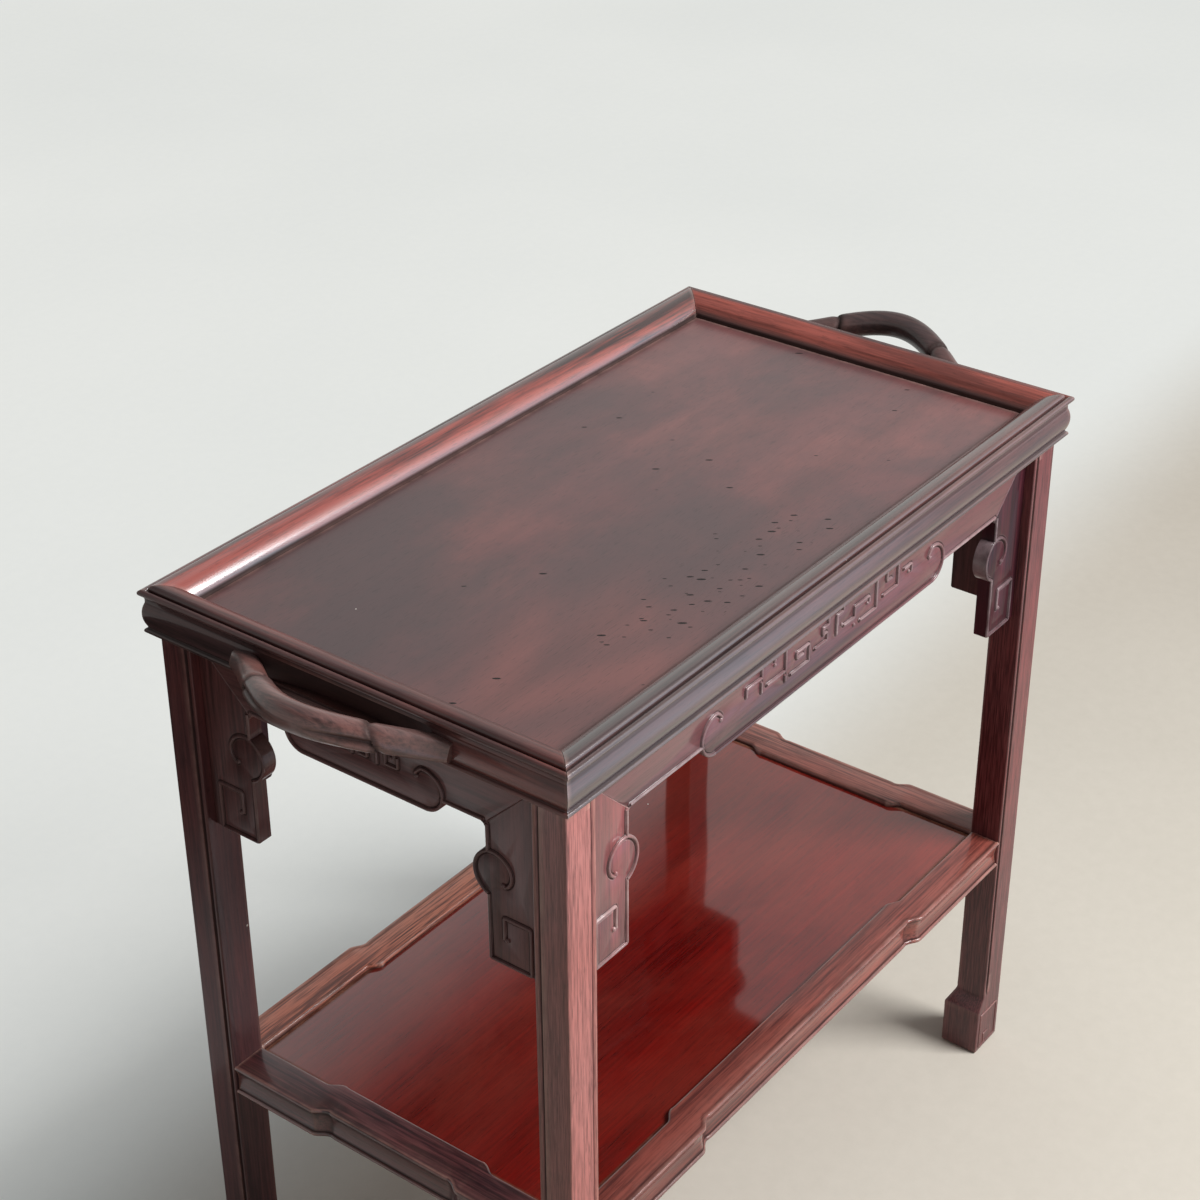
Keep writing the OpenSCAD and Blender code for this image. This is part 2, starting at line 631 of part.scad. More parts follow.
module leg() {
    translate([-table_l / 2 + leg_in, -table_w / 2 + leg_in, 0]) difference() {
        union() {
            translate([0, 0, foot_h]) linear_extrude(rim_z - foot_h) leg_section();
            foot();
            translate([leg_w - tenon_t - tenon_back, tenon_in, rim_z - eps]) cube([tenon_t, tenon_t, tenon_h + eps]);
            translate([tenon_in, leg_d - tenon_t - tenon_back, rim_z - eps]) cube([tenon_t, tenon_t, tenon_h + eps]);
        }
        // slots for the spandrels' tongues
        translate([leg_w - tongue_l + 1 - fit, tongue_in - fit, rim_z - spandrel_h + tongue_stop - fit])
            cube([tongue_l, tongue_t + 2 * fit, spandrel_h - 2 * tongue_stop + 2 * fit]);
        translate([tongue_in - fit, leg_d - tongue_l + 1 - fit, rim_z - spandrel_h + tongue_stop - fit])
            cube([tongue_t + 2 * fit, tongue_l, spandrel_h - 2 * tongue_stop + 2 * fit]);
        // mortises for the shelf rails
        translate([leg_w - tie_l - fit, tie_in - fit, shelf_z - shelf_h + tie_up - fit])
            cube([tie_l + 1, tie_t + 2 * fit, tie_v + 2 * fit]);
        translate([tie_in - fit, leg_d - tie_l - fit, shelf_z - shelf_h + tie_up - fit])
            cube([tie_t + 2 * fit, tie_l + 1, tie_v + 2 * fit]);
    }
}

// places along half a shelf rail, close together over its ogees
function stations(mid, end) = concat([for (i = [0:9]) mid - ogee_l / 2 + i * (ogee_l + ogee_lag) / 9], [end]);
function both_ways(h) = concat([for (i = [len(h) - 1:-1:0]) -h[i]], h);
// how far an edge stands inwards at x, with its ogee at mid
function step_at(x, mid) = ogee_step * (1 - ease((abs(x) - mid + ogee_l / 2) / ogee_l));

// section of a shelf rail w wide, whose outer and inner edges are moved inwards by a and b
function rail_section(w, a, b) = let (
    top = arc([a + rail_bead, shelf_h - rail_bead], rail_bead, 90, 240, 5),
    low = arc([a + rail_low_bead + rail_low_in, rail_low_bead + rail_low_up], rail_low_bead, 90, 260, 5))
    concat([[a + rail_low_bead + rail_low_in + 1, 0], [w + b, 0], [w + b, groove_v - fit / 2],
        [w - tongue_l - fit, groove_v - fit / 2], [w - tongue_l - fit, groove_v + tongue_t + fit / 2],
        [w + b, groove_v + tongue_t + fit / 2]],
        arc([w + b - rail_round, shelf_h - rail_round], rail_round, 0, 90, 4),
        top, bow(top[5], low[0], rail_hollow, 7), low);

// a shelf rail between legs that stand span apart, with its outer ogees from_leg away from the legs
module shelf_rail(span, reach, w, from_leg) {
    mid = span / 2 - from_leg;
    end = span / 2 + tie_l;
    xs = both_ways(stations(mid, end + 1));
    m = len(rail_section(w, 0, 0));
    translate([0, -reach + leg_in, shelf_z - shelf_h]) difference() {
        polyhedron([for (x = xs) for (p = rail_section(w, step_at(x, mid), step_at(x, mid + ogee_lag)))
            [x, p[0], p[1]]], skin(len(xs), m));
        // both ends are cut back to a shouldered tenon
        for (s = [-1, 1]) difference() {
            translate([s > 0 ? span / 2 : -end - 2, -1, -1]) cube([tie_l + 2, w + 2, shelf_h + 2]);
            translate([s > 0 ? span / 2 - 1 : -end, tie_in, tie_up]) cube([tie_l + 1, tie_t, tie_v]);
        }
    }
}

module long_shelf_rail() {
    difference() {
        shelf_rail(span_l, table_w / 2, leg_d, ogee_long);
        for (s = [-1, 1])
            batten_tenon(s * batten_x, table_w / 2 - leg_in - leg_d - ogee_step, shelf_z - shelf_h + groove_v, fit);
    }
}

module short_shelf_rail() {
    shelf_rail(span_w, table_l / 2, leg_w, ogee_short);
}

// one side of the shelf panel's field, which keeps a gap to the rail beside it
function field_side(span, depth, from_leg) = let (mid = span / 2 - from_leg + ogee_lag,
    xs = both_ways(stations(mid - ogee_lag, span / 2 - fit)))
    [for (i = [0:len(xs) - 2]) [xs[i], -depth / 2 + fit + step_at(xs[i], mid)]];
function quarter_turn(p) = [for (q = p) [-q[1], q[0]]];
function half_turn(p) = [for (q = p) [-q[0], -q[1]]];
long_side = field_side(span_l, span_w, ogee_long);
short_side = quarter_turn(field_side(span_w, span_l, ogee_short));

// the panel's field fills the opening between the rails, and its tongue runs in their grooves
module shelf_panel() {
    z = shelf_z - shelf_h + groove_v;
    difference() {
        union() {
            translate([-span_l / 2 - tongue_l, -span_w / 2 - tongue_l, z])
                cube([span_l + 2 * tongue_l, span_w + 2 * tongue_l, tongue_t]);
            translate([0, 0, z]) linear_extrude(shelf_panel_t)
                polygon(concat(long_side, short_side, half_turn(long_side), half_turn(short_side)));
        }
        for (x = [-1, 1]) for (y = [-1, 1])
            translate([x * (span_l / 2 + tongue_l), y * (span_w / 2 + tongue_l), z])
                cube([2 * tongue_l + 2 * fit, 2 * tongue_l + 2 * fit, 4 * tongue_t], center = true);
        for (s = [-1, 1]) batten_key(s * batten_x, table_w, z, fit);
    }
}

module top_batten(s) {
    batten(s * batten_x, table_w / 2 - rim_in, rim_z + lip_v);
}

module shelf_batten(s) {
    batten(s * batten_x, table_w / 2 - leg_in - leg_d - ogee_step, shelf_z - shelf_h + groove_v);
}

module long_apron() {
    apron(span_l, table_w / 2, plain_long, fret_long, dots_long, fret_gap_long);
}

module short_apron() {
    apron(span_w, table_l / 2, plain_short, fret_short, dots_short, fret_gap_short);
}

color(dark) long_rail();  // top_rail_front
color(dark) at_back() long_rail();  // top_rail_back
color(dark) at_left() short_rail();  // top_rail_left
color(dark) at_right() short_rail();  // top_rail_right
color(deep) top_panel();
color(pale) top_batten(-1);  // top_batten_left
color(pale) top_batten(1);  // top_batten_right
color(dark) at_left() handle();  // handle_left
color(dark) at_right() handle();  // handle_right
color(red) long_apron();  // apron_front
color(red) at_back() long_apron();  // apron_back
color(red) at_left() short_apron();  // apron_left
color(red) at_right() short_apron();  // apron_right
color(pale) spandrel(span_l, table_w / 2);  // spandrel_front_left
color(pale) to_right() spandrel(span_l, table_w / 2);  // spandrel_front_right
color(pale) at_back() spandrel(span_l, table_w / 2);  // spandrel_back_left
color(pale) at_back() to_right() spandrel(span_l, table_w / 2);  // spandrel_back_right
color(pale) at_left() to_right() spandrel(span_w, table_l / 2);  // spandrel_left_front
color(pale) at_left() spandrel(span_w, table_l / 2);  // spandrel_left_back
color(pale) at_right() to_right() spandrel(span_w, table_l / 2);  // spandrel_right_front
color(pale) at_right() spandrel(span_w, table_l / 2);  // spandrel_right_back
color(pale) leg();  // leg_front_left
color(pale) to_right() leg();  // leg_front_right
color(pale) at_back() leg();  // leg_back_left
color(pale) at_back() to_right() leg();  // leg_back_right
color(red) long_shelf_rail();  // shelf_rail_front
color(red) at_back() long_shelf_rail();  // shelf_rail_back
color(red) at_left() short_shelf_rail();  // shelf_rail_left
color(red) at_right() short_shelf_rail();  // shelf_rail_right
color(deep) shelf_panel();
color(pale) shelf_batten(-1);  // shelf_batten_left
color(pale) shelf_batten(1);  // shelf_batten_right
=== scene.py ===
# %% [markdown]
# # A two-tier drinks table in dark carved hardwood
# The table is a tray on legs: a moulded rim round a polished board, a carved handle at each end, carved
# aprons and scrolled spandrels under the rim, four beaded legs on block feet, and a lower shelf whose
# rails step inwards through small ogees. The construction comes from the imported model, and this script
# gives each piece its carving, its rounded edges and its polish.

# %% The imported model
import math

import bmesh
import bpy
from mathutils import Matrix, Vector
from mathutils.geometry import delaunay_2d_cdt


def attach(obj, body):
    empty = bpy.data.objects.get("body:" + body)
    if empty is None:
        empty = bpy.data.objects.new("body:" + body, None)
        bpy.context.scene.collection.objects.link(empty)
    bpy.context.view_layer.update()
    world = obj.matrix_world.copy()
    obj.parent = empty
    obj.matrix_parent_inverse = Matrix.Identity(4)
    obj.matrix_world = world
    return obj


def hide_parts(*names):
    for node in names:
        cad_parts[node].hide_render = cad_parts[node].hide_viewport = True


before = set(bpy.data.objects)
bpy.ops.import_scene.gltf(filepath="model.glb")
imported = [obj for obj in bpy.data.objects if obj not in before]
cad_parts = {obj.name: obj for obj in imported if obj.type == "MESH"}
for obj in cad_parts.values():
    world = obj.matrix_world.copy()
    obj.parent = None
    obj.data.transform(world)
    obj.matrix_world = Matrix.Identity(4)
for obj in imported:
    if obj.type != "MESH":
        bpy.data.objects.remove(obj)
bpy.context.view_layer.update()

# %% [markdown]
# ## Sizes and places
# A table like this is cut from one set of sizes, so they stand here once, in millimetres, as on a
# maker's rod. Every piece is drawn as if it stood on the front side of the table and is then turned or
# mirrored to its own side. That keeps the four sides alike, as on the real table.

# %% Sizes in millimetres
LONG, WIDE, HIGH = 700, 400, 700
RIM_H, RIM_W, RIM_LIP, PANEL_SINK, PANEL_T = 40, 31, 15, 16, 10
LEG_W, LEG_D, LEG_IN = 33, 30, 9.5
SPAN_L, SPAN_W = LONG - 2 * (LEG_IN + LEG_W), WIDE - 2 * (LEG_IN + LEG_D)
RIM_Z = HIGH - RIM_H
BOARD_FACE, BOARD_T = LEG_IN + 8.5, 12
SHELF_Z, SHELF_H, SHELF_SINK, SHELF_PANEL_T = 252, 28.5, 5, 9
print("clear spans between the legs:", SPAN_L, "and", SPAN_W, "mm")

# %% The four sides
TO_SIDE = {
    "front": Matrix(((1, 0, 0, 0), (0, 1, 0, 0), (0, 0, 1, 0), (0, 0, 0, 1))),
    "back": Matrix(((1, 0, 0, 0), (0, -1, 0, 0), (0, 0, 1, 0), (0, 0, 0, 1))),
    "left": Matrix(((0, 1, 0, 0), (-1, 0, 0, 0), (0, 0, 1, 0), (0, 0, 0, 1))),
    "right": Matrix(((0, -1, 0, 0), (-1, 0, 0, 0), (0, 0, 1, 0), (0, 0, 0, 1))),
}
# each side's distance from the table's middle to the rim's outer edge
OUT_TO = {"front": WIDE / 2, "back": WIDE / 2, "left": LONG / 2, "right": LONG / 2}
SHORT_SIDES = ("left", "right")
MIRROR = Matrix.Scale(-1, 4, (1, 0, 0))
UPRIGHT_TURN = Matrix.Rotation(math.radians(90), 4, "X")


def arc(centre, radius, start, end, count):
    """Points on a circle, from one angle to another in degrees."""
    turns = [math.radians(start + (end - start) * i / count) for i in range(count + 1)]
    return [(centre[0] + radius * math.cos(a), centre[1] + radius * math.sin(a)) for a in turns]


def ease(t):
    """A rise from 0 to 1 that starts and ends level."""
    return (1 - math.cos(math.pi * min(1, max(0, t)))) / 2


def place_object(name, data):
    """An object for some data, in the scene."""
    made = bpy.data.objects.new(name, data)
    bpy.context.scene.collection.objects.link(made)
    return made


print("sides:", ", ".join(TO_SIDE))

# %% [markdown]
# ## A helper for node trees
# Both the carving and the polish are node trees. Here one small helper adds a node, and the outputs of a
# node can be added and multiplied like numbers, so that each tree below reads like a recipe.

# %% Node helper
class Value:
    """An output of a node. Arithmetic with values adds the nodes that work it out."""

    def __init__(self, tree, socket):
        self.tree, self.socket = tree, socket

    def calc(self, operation, *others, clamp=False):
        return add(self.tree, "Math", (self, *others), operation=operation, use_clamp=clamp)[0]

    def vector(self, operation, *others):
        made = add(self.tree, "VectorMath", (self, *others), operation=operation)
        return made["Value" if operation in ("LENGTH", "DOT_PRODUCT") else 0]

    def ramp(self, low, high, start=0.0, end=1.0, soft=False):
        """Brings the value from one range to another and holds it at both ends."""
        kind = "SMOOTHSTEP" if soft else "LINEAR"
        return add(self.tree, "MapRange", (self, low, high, start, end), interpolation_type=kind)[0]

    def __add__(self, other):
        return self.calc("ADD", other)

    def __sub__(self, other):
        return self.calc("SUBTRACT", other)

    def __rsub__(self, other):
        return add(self.tree, "Math", (other, self), operation="SUBTRACT")[0]

    def __mul__(self, other):
        return self.calc("MULTIPLY", other)

    def __truediv__(self, other):
        return self.calc("DIVIDE", other)


def plug(socket, value):
    """Feeds a socket from another node, or sets its plain value."""
    if isinstance(value, Value):
        value.tree.links.new(value.socket, socket)
    else:
        socket.default_value = value


def add(tree, kind, inputs=(), **settings):
    """Adds a node and returns its outputs, by number and by name."""
    node = tree.nodes.new(kind if "Node" in kind else "ShaderNode" + kind)
    for key, value in settings.items():
        setattr(node, key, value)
    for key, value in inputs.items() if isinstance(inputs, dict) else enumerate(inputs):
        plug(node.inputs[key], value)
    return {key: Value(tree, socket) for i, socket in enumerate(node.outputs) for key in (i, socket.name)}


def split(value):
    """The three parts of a vector."""
    return add(value.tree, "SeparateXYZ", (value,))


def blend(tree, mask, under, over):
    """Lays one colour over another through a mask."""
    under, over = (c if isinstance(c, Value) else (*c, 1) for c in (under, over))
    return add(tree, "Mix", {0: mask, 6: under, 7: over}, data_type="RGBA")[2]


def noise(tree, vector, scale, detail, roughness=0.5, distortion=0.0):
    return add(tree, "TexNoise", {"Vector": vector, "Scale": scale, "Detail": detail, "Roughness": roughness,
        "Distortion": distortion})[0]


def new_tree(name, kind, takes, gives, result="Float"):
    """A node group with named inputs, some with a default value, and named outputs."""
    tree = bpy.data.node_groups.new(name, kind)
    for title, socket, *default in takes:
        made = tree.interface.new_socket(title, in_out="INPUT", socket_type="NodeSocket" + socket)
        if default:
            made.default_value = default[0]
    for title in gives:
        tree.interface.new_socket(title, in_out="OUTPUT", socket_type="NodeSocket" + result)
    return tree, add(tree, "NodeGroupInput")


print("node helper ready")

# %% [markdown]
# ## The figure of the wood
# The table is a dense, dark red hardwood with fine straight grain. Three things make it up: broad bands
# of lighter and darker wood, fine fibres, and short dark pores. All of them are stretched along the
# grain. One group makes them from a position, and each material turns that position so that the grain
# runs along its own piece.

# %% Group: figure of the wood
def make_figure():
    tree, take = new_tree("figure of the wood", "ShaderNodeTree",
        [("Vector", "Vector"), ("Band scale", "Float"), ("Fibre scale", "Float")],
        ("Bands", "Fibres", "Pores"))

    def grain(stretch, *settings):
        return noise(tree, take["Vector"].vector("MULTIPLY", (stretch, 1, 1)), *settings)

    add(tree, "NodeGroupOutput", {
        "Bands": grain(0.07, take["Band scale"], 4.0, 0.62, 0.5),
        "Fibres": grain(0.035, take["Fibre scale"], 2.0, 0.6),
        "Pores": grain(0.09, 1000.0, 1.0).ramp(0.60, 0.70)})
    return tree


FIGURE = make_figure()
print("made the group", FIGURE.name)

# %% [markdown]
# ## Old polish, worn edges and specks
# A century of hands leaves its marks in three ways. The polish is uneven, with soft red and grey
# patches. Edges that stand proud are rubbed to a lighter red, while the hollows are darkened by dirt and
# by painted shade, which stands for the shadow that falls there. A few white specks and small knocks lie
# anywhere. Each is a group that gives a mask, and the materials decide what colour and gloss the mask brings.

# %% Group: uneven polish
def make_polish():
    tree, take = new_tree("uneven polish", "ShaderNodeTree",
        [("Vector", "Vector"), ("Patch size", "Float"), ("Seed", "Float")], ("Red", "Haze", "Waves"))
    drawn = take["Vector"].vector("MULTIPLY", (0.6, 1, 1))
    masks = {"Waves": noise(tree, take["Vector"], 14.0, 1.0)}
    for title, scale, shift, low, high in (("Red", 1.0, 0.0, 0.42, 0.68), ("Haze", 0.6, 7.3, 0.36, 0.62)):
        patches = add(tree, "TexNoise", {"Vector": drawn, "W": take["Seed"] + shift,
            "Scale": take["Patch size"] * scale, "Detail": 7.0, "Roughness": 0.62, "Distortion": 0.4},
            noise_dimensions="4D")[0]
        masks[title] = patches.ramp(low, high, soft=True)
    add(tree, "NodeGroupOutput", masks)
    return tree


POLISH = make_polish()
print("made the group", POLISH.name)

# %% Group: worn edges
def make_wear():
    tree, take = new_tree("worn edges", "ShaderNodeTree",
        [("Vector", "Vector"), ("Edge", "Float"), ("Hollow", "Float"), ("Amount", "Float")], ("Worn", "Dirt and shade"))
    broken = noise(tree, take["Vector"], 38.0, 5.0, 0.65).ramp(0.36, 0.62)
    edge = take["Edge"] * (broken * 0.7 + 0.3)
    # the hollows' darkening is dirt and painted shade
    add(tree, "NodeGroupOutput", {
        "Worn": edge.calc("MULTIPLY", take["Amount"], clamp=True),
        "Dirt and shade": take["Hollow"].calc("POWER", 0.65, clamp=True)})
    return tree


WEAR = make_wear()
print("made the group", WEAR.name)

# %% Group: specks and knocks
# the knocks crowd round one place of the tray, in metres
CROWD_CENTRE, CROWD_SPREAD = (-0.065, -0.12, HIGH / 1000), (0.17, 0.045, 1.0)


def make_specks():
    tree, take = new_tree("specks and knocks", "ShaderNodeTree",
        [("Vector", "Vector"), ("Place", "Vector"), ("Knock amount", "Float")], ("Specks", "Knocks"))
    cells = add(tree, "TexVoronoi", {"Vector": take["Vector"], "Scale": 34.0})
    picked = add(tree, "SeparateColor", (cells["Color"],))
    specks = cells["Distance"].calc("LESS_THAN", picked[1] * 0.032) * picked[0].calc("GREATER_THAN", 0.75)
    # knocks are short dashes that lie thinly anywhere and thickly in the crowd
    skew = add(tree, "Mapping", {"Vector": take["Vector"], "Rotation": (0, 0, math.radians(53))})[0]
    dents = add(tree, "TexVoronoi", {"Vector": skew.vector("MULTIPLY", (0.36, 1, 1)), "Scale": 190.0})
    kind = add(tree, "SeparateColor", (dents["Color"],))
    dent = dents["Distance"].calc("LESS_THAN", kind[1] * 0.16 + 0.1)
    apart = take["Place"].vector("SUBTRACT", CROWD_CENTRE).vector("DIVIDE", CROWD_SPREAD).vector("LENGTH")
    chance = apart.ramp(0.4, 1.0, 0.5, 0.015) * take["Knock amount"]
    add(tree, "NodeGroupOutput", {"Specks": specks, "Knocks": dent * chance.calc("GREATER_THAN", kind[0])})
    return tree


SPECKS = make_specks()
print("made the group", SPECKS.name)

# %% [markdown]
# ## The wood finishes
# One recipe makes every finish: the figure sets the colour between a dark and a light tone, the uneven
# polish adds red and haze, dirt and painted shade darken the hollows, wear lightens the edges, a painted
# level of light and shade darkens or lightens the colour along the piece and on its faces towards the
# ends, and specks come last. The shader has a clear coat for the old shellac polish. Only colours, the
# roughness, the coat's weight and the bump come from the groups, and the coat's other numbers are set on
# the shader itself.

# %% Wood recipe
GRAIN_ALONG = {"x": (0, 0, 0), "y": (0, 0, math.radians(-90)), "z": (0, math.radians(90), 0)}
# the hollows' colour stands for dirt and painted shade
PORE, DIRT_AND_SHADE, KNOCK = (0.012, 0.006, 0.006), (0.016, 0.007, 0.006), (0.006, 0.003, 0.003)
SCUFF, SPECK = (0.030, 0.009, 0.012), (0.62, 0.56, 0.5)


def wood(name, along, dark, light, red, haze, worn_and_highlight, haze_amount=0.5, rough=0.36, shine=0.3, coat=0.35,
         coat_rough=0.12, coat_ior=1.5, seed=0.0, wear=0.6, knocks=0.0, band_scale=26.0, contrast=1.0,
         fibre=1.5, fibre_scale=420.0, patch=5.0, ruddy=0.6, bare=(0.5, 1.2), waves=0.35,
         painted_light_ends=(1.0, 1.0), scuffed=0.0, flank_shade=1.0):
    """A polished hardwood whose grain runs along x, y or z.

    Bare gives the red's level where the polish is worn off. The colour's level at the left and right end
    and its level on the faces towards the ends are painted light and shade, for how the light falls."""
    made = bpy.data.materials.new(name)
    made.use_nodes = True
    tree = made.node_tree
    where = add(tree, "TexCoord")
    place = where["Object"]
    turned = add(tree, "Mapping", {"Vector": place, "Rotation": GRAIN_ALONG[along],
        "Location": (seed * 1.7, seed * 0.9, seed * 1.3)})[0]

    def mark(title):
        return add(tree, "Attribute", attribute_name=title)["Fac"]

    def group(node_tree, **inputs):
        inputs = {title.replace("_", " "): value for title, value in inputs.items()}
        return add(tree, "Group", inputs, node_tree=node_tree)

    figure = group(FIGURE, Vector=turned, Band_scale=band_scale, Fibre_scale=fibre_scale)
    polish = group(POLISH, Vector=turned, Patch_size=patch, Seed=seed)
    edges = group(WEAR, Vector=place, Edge=mark("edge"), Hollow=mark("hollow"), Amount=wear)
    marks = group(SPECKS, Vector=turned, Place=place, Knock_amount=knocks)
    tone = figure["Bands"].ramp(0.5 - 0.2 / contrast, 0.5 + 0.2 / contrast)
    tone = tone.calc("ADD", (figure["Fibres"] - 0.5) * fibre, clamp=True)
    # the rub is worn polish, and on the shaded right rim slope painted light as well
    rub = mark("rub")
    rubbed = (polish["Red"] * ruddy).calc("MAXIMUM", rub)
    dull, bright = (tuple(level * c for c in red) for level in bare)
    cloudy = polish["Haze"] * (haze_amount - rub * (0.7 * haze_amount))
    colour = blend(tree, tone, dark, light)
    for mask, over in (
            (rubbed, blend(tree, tone, dull, bright)), (cloudy, haze), (figure["Pores"] * 0.3, PORE),
            (edges["Dirt and shade"] * 0.85, DIRT_AND_SHADE), (edges["Worn"], worn_and_highlight), (marks["Knocks"] * 0.95, KNOCK)):
        colour = blend(tree, mask, colour, over)
    # painted light and shade: the colour grows darker or lighter towards the ends and on the end faces
    spot = split(place)
    endwards = split(where["Normal"])[0].calc("ABSOLUTE")
    level = spot[0].ramp(-0.3, 0.3, *painted_light_ends) * endwards.ramp(0.5, 0.9, 1.0, flank_shade)
    colour = colour.vector("MULTIPLY", level)
    # brooms and shoes darken the feet
    low = spot[2].ramp(0.075, 0.02, 0.0, scuffed, soft=True)
    colour = blend(tree, low.calc("MULTIPLY", polish["Haze"] + 0.5, clamp=True), colour, SCUFF)
    colour = blend(tree, marks["Specks"], colour, SPECK)
    gloss = polish["Haze"] * 0.1 + rough + figure["Fibres"] * 0.08 - edges["Worn"] * 0.1 + edges["Dirt and shade"] * 0.3
    height = figure["Fibres"] * 0.05 - figure["Pores"] * 0.12 - marks["Knocks"] * 0.6
    height = height + polish["Waves"] * waves
    relief = add(tree, "Bump", {"Height": height, "Strength": 0.25, "Distance": 0.001})[0]
    for title, value in {
            "Base Color": colour, "Roughness": gloss, "Specular IOR Level": shine, "Normal": relief,
            "Coat Weight": (edges["Dirt and shade"] + marks["Knocks"]).ramp(0.0, 1.0, coat, 0.0),
            "Coat Roughness": coat_rough, "Coat IOR": coat_ior}.items():
        plug(tree.nodes["Principled BSDF"].inputs[title], value)
    return made


print("wood recipe ready")

# %% [markdown]
# ## Tones and finishes
# Old rosewood differs from stick to stick, so every part has a tone of five colours: dark wood, light
# wood, red polish, grey haze and worn edges. Some tones are darker copies of another that stand for shade:
# those of the ends, the back legs, the right front leg, the left shelf rail and the long-side spandrels
# other than the near one are painted shade. The light worn colour of the front carved boards is partly
# wear and partly a painted highlight on their raised lines. A finish adds gloss, grain and wear to a
# tone, and parts that were polished alike share these settings.

# %% Tones of the wood
def tones(dark, light, red, haze, worn_and_highlight):
    return dict(dark=dark, light=light, red=red, haze=haze, worn_and_highlight=worn_and_highlight)


RIM = tones((0.030, 0.011, 0.010), (0.115, 0.042, 0.038), (0.34, 0.060, 0.042), (0.085, 0.060, 0.064),
    (0.34, 0.20, 0.17))
# a darker copy of the rim's tone for the ends: painted shade
SIDE_RIM = tones((0.020, 0.007, 0.007), (0.070, 0.026, 0.025), (0.31, 0.072, 0.052), (0.055, 0.036, 0.038),
    (0.22, 0.12, 0.10))
# the front boards' light worn colour is partly wear and partly a painted highlight on their lines
BOARD = tones((0.078, 0.015, 0.016), (0.28, 0.064, 0.070), (0.30, 0.052, 0.052), (0.140, 0.085, 0.090),
    (0.52, 0.37, 0.35))
APRON = tones((0.046, 0.009, 0.011), (0.180, 0.048, 0.055), (0.19, 0.036, 0.038), (0.100, 0.060, 0.070),
    (0.48, 0.35, 0.35))
# a darker copy for the long-side spandrels but the near one: painted shade
SHADED_BOARD = tones((0.022, 0.003, 0.006), (0.088, 0.014, 0.022), (0.090, 0.012, 0.016),
    (0.034, 0.015, 0.022), (0.36, 0.27, 0.28))
# a darker copy for the end aprons and spandrels: painted shade
SIDE_BOARD = tones((0.032, 0.010, 0.009), (0.120, 0.042, 0.040), (0.17, 0.038, 0.034), (0.065, 0.038, 0.038),
    (0.20, 0.12, 0.11))
UPRIGHT = tones((0.180, 0.044, 0.040), (0.50, 0.180, 0.165), (0.42, 0.110, 0.092), (0.240, 0.120, 0.112),
    (0.56, 0.32, 0.24))
# darker copies of the leg's tone for the right front leg and the back legs: painted shade
RIGHT_UPRIGHT = tones((0.046, 0.006, 0.008), (0.215, 0.058, 0.058), (0.18, 0.024, 0.025),
    (0.110, 0.056, 0.058), (0.42, 0.23, 0.20))
BACK_UPRIGHT = tones((0.024, 0.008, 0.009), (0.100, 0.034, 0.033), (0.13, 0.028, 0.026),
    (0.044, 0.026, 0.030), (0.26, 0.13, 0.11))
HANDLE = tones((0.040, 0.015, 0.013), (0.175, 0.074, 0.064), (0.24, 0.080, 0.060), (0.105, 0.074, 0.070),
    (0.30, 0.18, 0.14))
TRAY = tones((0.076, 0.026, 0.026), (0.150, 0.052, 0.052), (0.265, 0.082, 0.070), (0.052, 0.036, 0.038),
    (0.30, 0.16, 0.14))
SHELF = tones((0.070, 0.0012, 0.0010), (0.150, 0.005, 0.003), (0.16, 0.003, 0.002), (0.250, 0.042, 0.026),
    (0.48, 0.22, 0.14))
RAILS = tones((0.050, 0.012, 0.009), (0.30, 0.100, 0.074), (0.26, 0.056, 0.042), (0.110, 0.060, 0.056),
    (0.58, 0.36, 0.29))
# a darker copy for the left shelf rail: painted shade
SIDE_RAILS = tones((0.012, 0.003, 0.005), (0.085, 0.028, 0.030), (0.14, 0.024, 0.022), (0.050, 0.032, 0.036),
    (0.42, 0.23, 0.18))
BACK_RAIL = tones((0.060, 0.012, 0.007), (0.50, 0.170, 0.100), (0.36, 0.085, 0.052), (0.160, 0.085, 0.066),
    (0.66, 0.42, 0.34))
FRONT_RIM = dict(RIM, light=(0.092, 0.034, 0.032), red=(0.13, 0.050, 0.044), haze=(0.062, 0.046, 0.050))
BACK_RIM = dict(RIM, red=(0.25, 0.040, 0.026))
FRONT_RAIL = dict(RAILS, dark=(0.090, 0.014, 0.011), light=(0.28, 0.064, 0.046))
RIGHT_HANDLE = tones((0.022, 0.010, 0.010), (0.082, 0.040, 0.037), (0.110, 0.046, 0.038),
    (0.054, 0.042, 0.042), (0.16, 0.10, 0.08))
print("tones mixed")

# %% Finishes of this table
RIM_LOOK = dict(haze_amount=0.35, coat=0.75, coat_rough=0.09, wear=0.5, contrast=1.5, fibre=2.2,
    band_scale=34.0)
BACK_RIM_LOOK = dict(RIM_LOOK, coat=1.0, coat_ior=2.0, coat_rough=0.17, contrast=2.2, bare=(0.12, 1.3))
# a strong wear lightens the raised lines: partly wear and partly a painted highlight
CARVED = dict(haze_amount=0.3, coat=0.65, coat_rough=0.07, wear=0.7, contrast=1.4, fibre=1.8)
DULL = dict(CARVED, coat=0.25, shine=0.15)
SHADED = dict(DULL, wear=0.5)
RAIL_LOOK = dict(contrast=1.8, haze_amount=0.3, band_scale=55.0, fibre=2.8, fibre_scale=520.0, wear=0.7,
    coat=0.8)
HANDLE_LOOK = dict(wear=0.15, haze_amount=0.45, contrast=1.3, fibre=2.0, coat=0.6, coat_rough=0.18,
    patch=22.0)
